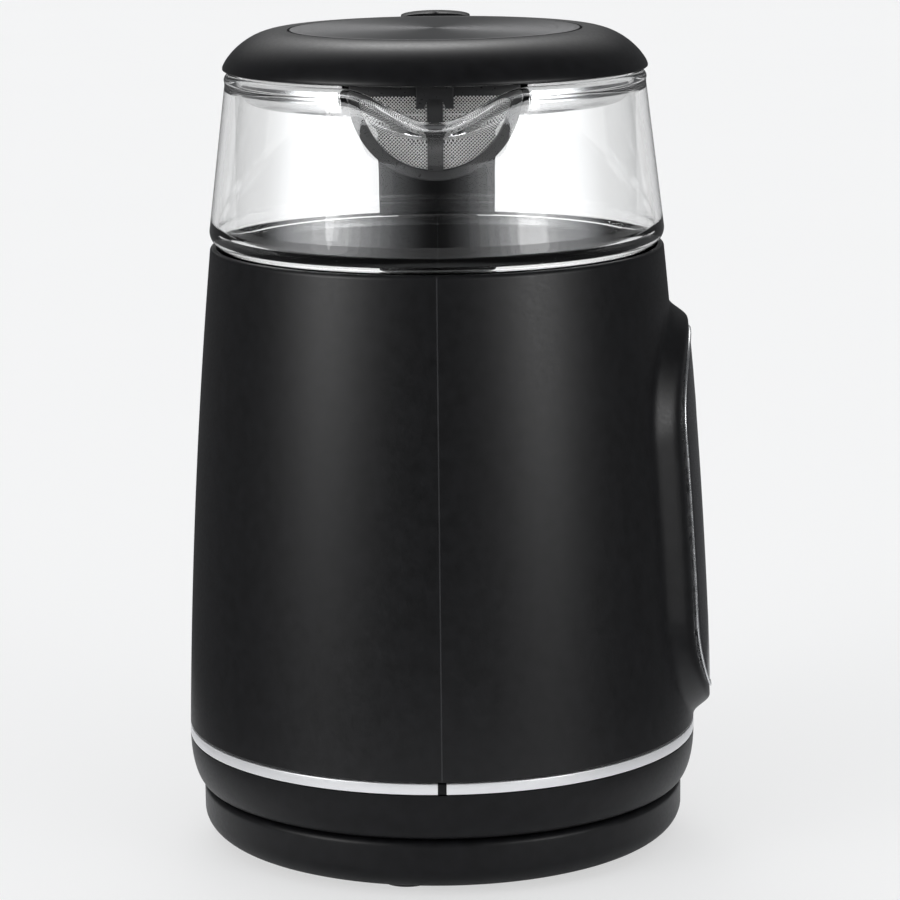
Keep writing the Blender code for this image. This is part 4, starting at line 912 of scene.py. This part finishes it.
def make_jug():
    """Glass jug: fire-polished rim with a pulled lip, rounded shoulder, neck inside the sleeve."""
    bead = arc((RIM_RADIUS - RIM_BEAD, RIM_TOP - RIM_BEAD), RIM_BEAD, 205, -20, 18)
    wall_top = RIM_TOP - 2 * RIM_BEAD
    shoulder_top = SHOULDER_BOTTOM + SHOULDER_HEIGHT
    shoulder = arc((SHOULDER_RADIUS - SHOULDER_HEIGHT, shoulder_top), SHOULDER_HEIGHT, 0, -78, 10)
    neck = [(NECK_RADIUS, NECK_TOP), (NECK_RADIUS, NECK_BOTTOM)]
    outer_top = (RIM_RADIUS - BEAD_BLEND[0], wall_top + BEAD_BLEND[1])
    outer_wall = line(outer_top, (SHOULDER_RADIUS, shoulder_top + SHOULDER_BLEND), 30)
    low_wall = line((NECK_RADIUS + NECK_BLEND, NECK_FLARE_TOP), (GLASS_BOTTOM_RADIUS, GLASS_BOTTOM), 6)
    low_inner = [(out - GLASS_WALL, up) for out, up in reversed(low_wall)]
    neck_inside = NECK_RADIUS - GLASS_WALL
    shoulder_inside = SHOULDER_RADIUS - GLASS_WALL
    shoulder_inner = [
        (neck_inside, INNER_NECK[0]),
        (neck_inside + INNER_NECK_STEP, INNER_NECK[1]),
        (shoulder_inside - INNER_SHOULDER[0], shoulder_top - INNER_SHOULDER[1]),
        (shoulder_inside, shoulder_top + INNER_SHOULDER[0]),
    ]
    inner_low = (shoulder_inside - INNER_WALL_START[0], shoulder_top + INNER_WALL_START[1])
    inner_wall = line(inner_low, (RIM_RADIUS - GLASS_WALL - INNER_WALL_END, wall_top), 28)
    outline = [*outer_wall, *shoulder, *neck, *low_wall, *low_inner, *shoulder_inner, *inner_wall, *bead]
    jug = turned("jug_glass", outline, JUG_COLUMNS, pour_lip, sharp=80)
    dress(jug, GLASS, "kettle", ["glass_jug"])


# Handle


def grip_path():
    """Middle line of the handle from the hinge block round to the sleeve, as (back, up) points."""
    top_middle = (GRIP_LINE - GRIP_TOP_BEND, GRIP_TOP - GRIP_TOP_BEND)
    low_middle = (GRIP_LINE - GRIP_LOW_BEND, GRIP_BOTTOM + GRIP_LOW_BEND)
    top_bend = arc(top_middle, GRIP_TOP_BEND, 90, 0, 24)
    low_bend = arc(low_middle, GRIP_LOW_BEND, 0, -90, 24)
    straight = line(top_bend[-1], low_bend[0], 12)[1:-1]
    start = (BLOCK_BACK + GAP, GRIP_TOP)
    end = (sleeve_radius(GRIP_BOTTOM) + GAP, GRIP_BOTTOM)
    return [start, *top_bend, *straight, *low_bend, end]


def make_grip(name, node_name, sign):
    """Outer (1) or inner (-1) half of the grip, swept along its middle line down to the sleeve."""
    path = grip_path()
    depth = GRIP_HALF_DEPTH - GRIP_PARTING
    half_oval = arc((0, sign * GRIP_PARTING), (GRIP_HALF_WIDTH, sign * depth), 0, 180, 28)
    section = filleted(half_oval, GRIP_EDGE, 2)
    points = []
    for i, (back_here, up_here) in enumerate(path):
        before = Vector(path[max(i - 1, 0)])
        after = Vector(path[min(i + 1, len(path) - 1)])
        along = (after - before).normalized()
        for aside, out in section:
            y = back_here - along.y * out
            z = up_here + along.x * out
            if i == len(path) - 1:
                y = math.sqrt((sleeve_radius(z) + GAP) ** 2 - aside ** 2)
            points.append((aside, y, z))
    grip = piece(name, points, tube_faces(len(path), len(section)))
    dress(grip, BLACK, "kettle", [node_name])


# Lid


def lid_shell():
    """Points and faces of the domed cover, with a seat for the inlay."""
    foot = LID_BOTTOM + LID_EDGE
    rim = INLAY_RADIUS + GAP
    seat = INLAY_BOTTOM - GAP
    inside = LID_RADIUS - LID_WALL
    dome = []
    for across, up in arc((0, 0), 1, 90, 0, 40):
        dome.append((LID_FLAT_RADIUS + (LID_RADIUS - LID_FLAT_RADIUS) * across,
                     foot + (LID_TOP - foot) * max(up, 0) ** LID_SLACK))
    outline = [
        (NEAR_AXIS, seat),
        (rim, seat),
        (rim, LID_TOP - LID_INNER_EDGE[1]),
        (rim + LID_INNER_EDGE[0], LID_TOP - LID_RIM_DROP),
        *dome,
        (LID_RADIUS, LID_BOTTOM + LID_FOOT_EDGE[1]),
        (LID_RADIUS - LID_FOOT_EDGE[0], LID_BOTTOM),
        (inside, LID_BOTTOM),
        (inside - LID_UNDERSIDE[0], seat - LID_WALL - LID_UNDERSIDE[1]),
        (NEAR_AXIS, seat - LID_WALL),
    ]
    points = ring_points(outline, even_angles(ROUND_COLUMNS))
    return points, grid_faces(ROUND_COLUMNS, len(outline))


def hinge_tongue():
    """Points and faces of the flat piece between the cover and the hinge barrel."""
    inside = LID_RADIUS - LID_WALL
    bottom = LID_BOTTOM + GAP
    root = inside - TONGUE_ROOT
    corners = [(inside, bottom), (HINGE_Y, bottom), (HINGE_Y, TONGUE_TOP), (root, TONGUE_TOP)]
    half_width = BARREL_HALF_LENGTH - GAP
    return slab(filleted(corners, TONGUE_EDGE), -half_width, half_width, SMALL_EDGE, sideways)


def hinge_barrel():
    """Points and faces of the barrel that turns on the hinge pin."""
    corners = rectangle(BARREL_BORE, BARREL_RADIUS, -BARREL_HALF_LENGTH, BARREL_HALF_LENGTH)
    outline = filleted(corners, BARREL_EDGE)
    rings = ring_points(outline, even_angles(BARREL_COLUMNS))
    points = [(across, HINGE_Y + back_from, HINGE_Z + up_from) for back_from, up_from, across in rings]
    return points, grid_faces(BARREL_COLUMNS, len(outline))


def make_lid():
    """Domed lid with its hinge, and the spun inlay on top of it."""
    cover = joined("lid_dome", [lid_shell(), hinge_tongue(), hinge_barrel()])
    dress(cover, LID_LOOK, "lid", ["lid_cover"])

    outline = [
        (NEAR_AXIS, INLAY_BOTTOM),
        (INLAY_RADIUS, INLAY_BOTTOM),
        *arc((INLAY_RADIUS - INLAY_EDGE, INLAY_TOP - INLAY_EDGE), INLAY_EDGE, 0, 90, 4),
        *line((INLAY_RADIUS - INLAY_BORDER, INLAY_TOP), (NEAR_AXIS, INLAY_TOP), 10),
    ]
    inlay = turned("lid_disc", outline)
    dress(inlay, DARK_METAL, "lid", ["lid_inlay"])


def make_liner():
    """Steel dish under the lid with a square notch for the strainer at the front."""
    corner_wide, corner_tall = LINER_CORNER
    corner = arc((LINER_RADIUS - corner_wide, LINER_BOTTOM + corner_tall), LINER_CORNER, 0, -90, 10)
    flat_radius = LINER_RADIUS - corner_wide - LINER_FLAT
    skin = [
        (LINER_RADIUS, LINER_TOP),
        *line((LINER_RADIUS, LINER_TOP - LINER_RIM), corner[0], 4),
        *corner[1:],
        *line((flat_radius, LINER_BOTTOM), (NEAR_AXIS, LINER_BOTTOM), 12),
    ]
    notch_back = STRAINER_BACK + 2 * GAP + NOTCH_ROOM
    points = ring_points(skin, even_angles(LINER_COLUMNS, start=TURN / 2 / LINER_COLUMNS))
    faces = []
    for face in grid_faces(LINER_COLUMNS, len(skin), along=False):
        middle = [sum(points[i][axis] for i in face) / 4 for axis in (0, 1)]
        if abs(middle[0]) > NOTCH_HALF_WIDTH or middle[1] > notch_back:
            faces.append(face)
    liner = piece("lid_dish", points, faces)
    thickness = liner.modifiers.new("wall", "SOLIDIFY")
    thickness.thickness = LINER_WALL * MM
    thickness.offset = -1
    dress(liner, STEEL, "lid", ["lid_liner"])


def make_button():
    """Lid button with a low arched top and soft edges."""
    lowest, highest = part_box("lid_button")
    half_width = (highest.x - lowest.x) / 2 / MM
    deep = (highest.y - lowest.y) / MM
    bottom = low("lid_button")
    top = high("lid_button")
    outline = [
        (-half_width, bottom),
        (half_width, bottom),
        *arc((0, top - BUTTON_ARCH), (half_width, BUTTON_ARCH), 0, 180, 32),
    ]
    place = facing_front(lowest.y / MM - AXIS.y / MM)
    button = joined("button_cap", [slab(outline, 0, deep, BUTTON_EDGE, place)])
    dress(button, BLACK, "button", ["lid_button"])


def coil(name, node_name, along, turns):
    """Close helix of round wire in the space of a CAD spring, about an axis along X or Z."""
    lowest, highest = [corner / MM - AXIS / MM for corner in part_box(node_name)]
    middle = (lowest + highest) / 2
    middle.z += AXIS.z / MM
    size = (highest - lowest) / 2
    reach = size.y - SPRING_WIRE
    run = (size.x if along == "X" else size.z) - SPRING_WIRE
    steps = round(turns * COIL_STEPS)
    path = []
    for i in range(steps + 1):
        angle = TURN * i / COIL_STEPS
        share = 2 * ease(i / steps) - 1
        side = reach * math.cos(angle)
        rise = reach * math.sin(angle)
        offset = (run * share, side, rise) if along == "X" else (side, rise, run * share)
        path.append(tuple(a + b for a, b in zip(middle, offset)))
    spring = joined(name, [pipe(path, SPRING_WIRE)])
    dress(spring, STEEL, "kettle", [node_name])
    return spring


def make_springs():
    """Spring of the lid hinge, and the button's spring, which shortens on the real kettle as the button
    goes down; here it only gets a mesh of its own.
    """
    coil("hinge_coil", "hinge_spring", "X", HINGE_COIL_TURNS)
    spring = coil("button_coil", "button_spring", "Z", BUTTON_COIL_TURNS)
    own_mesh(spring)


# Strainer


def half_round(half_width, top, bottom, count=40):
    """Outline with a straight top and a half-round bottom."""
    shoulder = min(bottom + half_width, top)
    curve = arc((0, shoulder), (half_width, shoulder - bottom), 0, -180, count)
    return [(half_width, top), *curve, (-half_width, top)]


def strainer_ring(place):
    """Points and faces of the half-round frame of the strainer."""
    outer = half_round(STRAINER_HALF_WIDTH, STRAINER_TOP, STRAINER_BOTTOM)
    inner_half_width = STRAINER_HALF_WIDTH - STRAINER_BAND
    inner = half_round(inner_half_width, STRAINER_TOP, STRAINER_BOTTOM + STRAINER_LOW_BAND)
    section = filleted(rectangle(0, 1, 0, STRAINER_THICKNESS), STRAINER_EDGE, 3)
    points = []
    for (out_across, out_up), (in_across, in_up) in zip(outer, inner):
        for share, deep in section:
            points.append(place(out_across + (in_across - out_across) * share,
                                out_up + (in_up - out_up) * share, deep))
    return points, tube_faces(len(outer), len(section))


def make_strainer():
    """Half-round strainer frame with its rib, bar and pull tab."""
    place = facing_front(STRAINER_BACK - STRAINER_THICKNESS)
    rib_side = STRAINER_RIB / 2
    rib = rectangle(-rib_side, rib_side, STRAINER_BOTTOM + RIB_INSET, STRAINER_TOP - RIB_INSET)
    rib = filleted(rib, STRAINER_CORNER)
    bar_side = STRAINER_HALF_WIDTH - BAR_INSET
    bar = rectangle(-bar_side, bar_side, STRAINER_TOP - STRAINER_BAR, STRAINER_TOP)
    bar = filleted(bar, STRAINER_CORNER)
    tab_low = STRAINER_TOP - TAB_HEIGHT
    tab = [
        (TAB_HALF_WIDTH, STRAINER_TOP - GAP),
        (TAB_HALF_WIDTH, tab_low),
        *arc((0, tab_low), TAB_NOTCH, 0, 180, 16),
        (-TAB_HALF_WIDTH, tab_low),
        (-TAB_HALF_WIDTH, STRAINER_TOP - GAP),
    ]
    rim = joined("strainer_rim", [
        strainer_ring(place),
        slab(rib, RIB_STEP, STRAINER_THICKNESS - RIB_STEP, SMALL_EDGE, place),
        slab(bar, BAR_STEP, STRAINER_THICKNESS - BAR_STEP, SMALL_EDGE, place),
        slab(tab, -TAB_REACH, TAB_ROOT, SMALL_EDGE, place),
    ])
    dress(rim, STRAINER_LOOK, "strainer", ["strainer_frame"])


def in_window(across, up):
    """Whether the woven wire reaches a place: the windows and a little of the frame round them."""
    half_width = STRAINER_HALF_WIDTH - STRAINER_BAND * WIRE_TUCK
    top = STRAINER_TOP - STRAINER_BAR * BAR_TUCK
    bottom = STRAINER_BOTTOM + STRAINER_LOW_BAND * WIRE_TUCK
    shoulder = min(STRAINER_BOTTOM + STRAINER_HALF_WIDTH, top)
    if abs(across) > half_width or up > top:
        return False
    if up > shoulder:
        return True
    return math.hypot(across / half_width, (shoulder - up) / (shoulder - bottom)) < 1


def make_mesh():
    """Wire woven at a slant, over and under, in the two windows of the strainer."""
    place = facing_front(STRAINER_BACK - STRAINER_THICKNESS)
    middle = (STRAINER_TOP + STRAINER_BOTTOM) / 2
    slant = math.sqrt(0.5)
    count = int(WIRE_REACH * STRAINER_HALF_WIDTH / WIRE_PITCH)
    wires = {"left": [], "right": []}
    for direction in (1, -1):
        for number in range(-count, count + 1):
            runs = {"left": [], "right": []}
            for crossing in range(-count, count + 1):
                along = crossing * WIRE_PITCH
                aside = number * WIRE_PITCH
                across = slant * (along - direction * aside)
                up = middle + slant * (direction * along + aside)
                if in_window(across, up):
                    over = 1 if (crossing + number) % 2 == 0 else -1
                    deep = STRAINER_THICKNESS / 2 + direction * over * WIRE_RADIUS * WIRE_WAVE
                    side = "right" if across > 0 else "left"
                    runs[side].append(place(across, up, deep))
            for side, run in runs.items():
                if len(run) > 2:
                    wires[side].append(pipe(run, WIRE_RADIUS, WIRE_SIDES))
    for side, parts in wires.items():
        mesh = joined(f"woven_wire_{side}", parts, sharp=80)
        dress(mesh, WIRE_STEEL, "strainer", [f"strainer_mesh_{side}"])


# CAD nodes that are shown as they are


def dress_frame_nodes():
    """Give each CAD node that is still shown the material of its slot, smooth with crisp edges."""
    slots = {entry["node"]: entry["material_slot"] for entry in frame["record"]["subparts"]}
    for name, thing in frame["nodes"].items():
        if thing.hide_render:
            continue
        thing.data.materials.clear()
        thing.data.materials.append(LOOKS[slots[name]])
        thing.data.shade_smooth()
        thing.data.set_sharp_from_angle(angle=math.radians(FRAME_SHARP))
    rounding = frame["nodes"]["hinge_block"].modifiers.new("edges", "BEVEL")
    rounding.width = BLOCK_EDGE * MM
    rounding.segments = 3
    rounding.limit_method = "ANGLE"
    rounding.angle_limit = math.radians(BLOCK_SHARP)


# Stage


def faded(value, none, full):
    """Soft change from 0 to 1 as a value goes from one limit to the other."""
    ranged = node(value, "MapRange")
    ranged.interpolation_type = "SMOOTHSTEP"
    ranged.inputs["From Min"].default_value = none
    ranged.inputs["From Max"].default_value = full
    link(value, ranged.inputs["Value"])
    return ranged.outputs["Result"]


def combined(operation, first, second):
    """Two values brought together by a sum, a product or a comparison."""
    result = node(first, "Math")
    result.operation = operation
    link(first, result.inputs[0])
    if isinstance(second, float):
        result.inputs[1].default_value = second
    else:
        link(second, result.inputs[1])
    return result.outputs["Value"]


def mixed(share, first, second):
    """Two shaders mixed; share is how much of the second is taken."""
    mix = node(share, "MixShader")
    link(share, mix.inputs["Fac"])
    link(first, mix.inputs[1])
    link(second, mix.inputs[2])
    return mix.outputs["Shader"]


def lift_shadow(lit):
    """Let the floor glow a little in the picture, so that the shadow on it stays light."""
    path = node(lit, "LightPath").outputs
    looked_at = combined("MAXIMUM", path["Is Camera Ray"], path["Is Transmission Ray"])
    glow = node(lit, "Emission")
    glow.inputs["Strength"].default_value = FLOOR_GLOW
    return mixed(combined("MULTIPLY", looked_at, FLOOR_GLOW_SHARE), lit, glow.outputs["Emission"])


def dim_in_reflections(lit):
    """Let the floor away from the kettle look dim in reflections, as a room does behind a lit table."""
    away = length(placed(lit, scale=(DIM_FLOOR_NARROWING, 1, 1)))
    far = combined("MULTIPLY", faded(away, DIM_FLOOR[0], DIM_FLOOR[1]), DIM_FLOOR_SHARE)
    path = node(lit, "LightPath").outputs
    mirrored = combined("GREATER_THAN", path["Is Glossy Ray"], path["Is Transmission Ray"])
    room = node(lit, "Emission")
    room.inputs["Color"].default_value = (*DIM_COLOUR, 1)
    return mixed(combined("MULTIPLY", far, mirrored), lit, room.outputs["Emission"])


def make_floor():
    """Plain pale floor that reaches out of the picture."""
    places = [FLOOR_REACH * (2 * i / FLOOR_STEPS - 1) for i in range(FLOOR_STEPS + 1)]
    points = [(x, y, 0) for x in places for y in places]
    mesh = bpy.data.meshes.new("floor")
    mesh.from_pydata(points, [], grid_faces(len(places), len(places), around=False, along=False))
    floor = bpy.data.objects.new("floor", mesh)
    bpy.context.scene.collection.objects.link(floor)
    material, shader = plain("floor_paper", (0.9, 0.9, 0.9), 0.9, specular=0.1)
    vary_colour(shader, noise(shader, 3), *FLOOR_SHADES)
    surface = dim_in_reflections(lift_shadow(shader.outputs["BSDF"]))
    link(surface, material.node_tree.nodes["Material Output"].inputs["Surface"])
    mesh.materials.append(material)


def soft_box(name, direction, strength):
    """Large far lamp with a soft border: rings of light inside each other."""
    for number, spread_angle in enumerate(BOX_SPREADS):
        lamp = bpy.data.lights.new(f"{name}_{number + 1}", "SUN")
        lamp.energy = strength / len(BOX_SPREADS)
        lamp.angle = math.radians(spread_angle)
        thing = bpy.data.objects.new(lamp.name, lamp)
        thing.rotation_euler = Vector(direction).to_track_quat("Z", "Y").to_euler()
        bpy.context.scene.collection.objects.link(thing)


def screen_brightness(sharp_mirror):
    """Two pale screens, left and right of the camera, which show in the clear glass alone."""
    place = node(sharp_mirror, "TexCoord")
    parts = node(sharp_mirror, "SeparateXYZ")
    link(place.outputs["Generated"], parts.inputs["Vector"])
    aside = combined("ABSOLUTE", parts.outputs["X"], 0.0)
    beside = faded(aside, SCREEN_GAP[0], SCREEN_GAP[1])
    in_front = faded(parts.outputs["Y"], SCREEN_END[0], SCREEN_END[1])
    low_down = faded(parts.outputs["Z"], SCREEN_TOP[0], SCREEN_TOP[1])
    screens = combined("MULTIPLY", combined("MULTIPLY", beside, in_front), low_down)
    shown = combined("MULTIPLY", screens, sharp_mirror)
    return combined("ADD", combined("MULTIPLY", shown, SCREEN_LIGHT), ROOM_IN_REFLECTIONS)


def surroundings(neighbour, colour):
    """Node for light that comes from all around."""
    light = node(neighbour, "Background")
    light.inputs["Color"].default_value = (*colour, 1)
    return light


def make_room():
    """Pale surroundings that light the floor, look white in the picture and dim in reflections."""
    world = bpy.data.worlds.new("room")
    world.use_nodes = True
    nodes = world.node_tree.nodes
    nodes.remove(nodes["Background"])
    output = nodes["World Output"]
    path = node(output, "LightPath").outputs
    pale = surroundings(output, ROOM_COLOUR)
    pale.inputs["Strength"].default_value = ROOM_LIGHT
    dim = surroundings(output, ROOM_COLOUR)
    link(screen_brightness(path["Is Singular Ray"]), dim.inputs["Strength"])
    white = surroundings(output, (1, 1, 1))
    white.inputs["Strength"].default_value = ROOM_IN_PICTURE
    unseen = mixed(path["Is Glossy Ray"], pale.outputs["Background"], dim.outputs["Background"])
    not_mirrored = combined("LESS_THAN", path["Glossy Depth"], 0.5)
    through_glass = combined("MULTIPLY", path["Is Transmission Ray"], not_mirrored)
    looked_at = combined("MAXIMUM", path["Is Camera Ray"], through_glass)
    link(mixed(looked_at, unseen, white.outputs["Background"]), output.inputs["Surface"])
    bpy.context.scene.world = world


def make_light():
    """Soft boxes left and right of the camera, one above and behind the lid, and the room."""
    soft_box("left_box", *LEFT_BOX)
    soft_box("right_box", *RIGHT_BOX)
    soft_box("top_box", *TOP_BOX)
    make_room()


def make_camera():
    """Camera straight in front of the pouring lip, a little above the lid."""
    data = bpy.data.cameras.new("camera")
    data.sensor_width = CAMERA_SENSOR
    data.lens = CAMERA_LENS
    data.clip_end = CAMERA_FAR
    camera = bpy.data.objects.new("camera", data)
    camera.location = (AXIS.x + CAMERA_ASIDE * MM, AXIS.y - CAMERA_DISTANCE * MM, CAMERA_HEIGHT * MM)
    tilt = Matrix.Rotation(math.radians(90 - CAMERA_TILT), 4, "X")
    roll = Matrix.Rotation(math.radians(CAMERA_ROLL), 4, "Z")
    camera.rotation_euler = (tilt @ roll).to_euler()
    bpy.context.scene.collection.objects.link(camera)
    bpy.context.scene.camera = camera
    bpy.context.scene.view_settings.view_transform = "Standard"


make_base()
make_feet()
make_skirt()
make_band()
make_sleeve()
make_panel()
make_jug()
make_grip("grip_shell_outer", "grip_outer", 1)
make_grip("grip_shell_inner", "grip_inner", -1)
make_lid()
make_liner()
make_button()
make_springs()
make_strainer()
make_mesh()
dress_frame_nodes()
make_floor()
make_light()
make_camera()
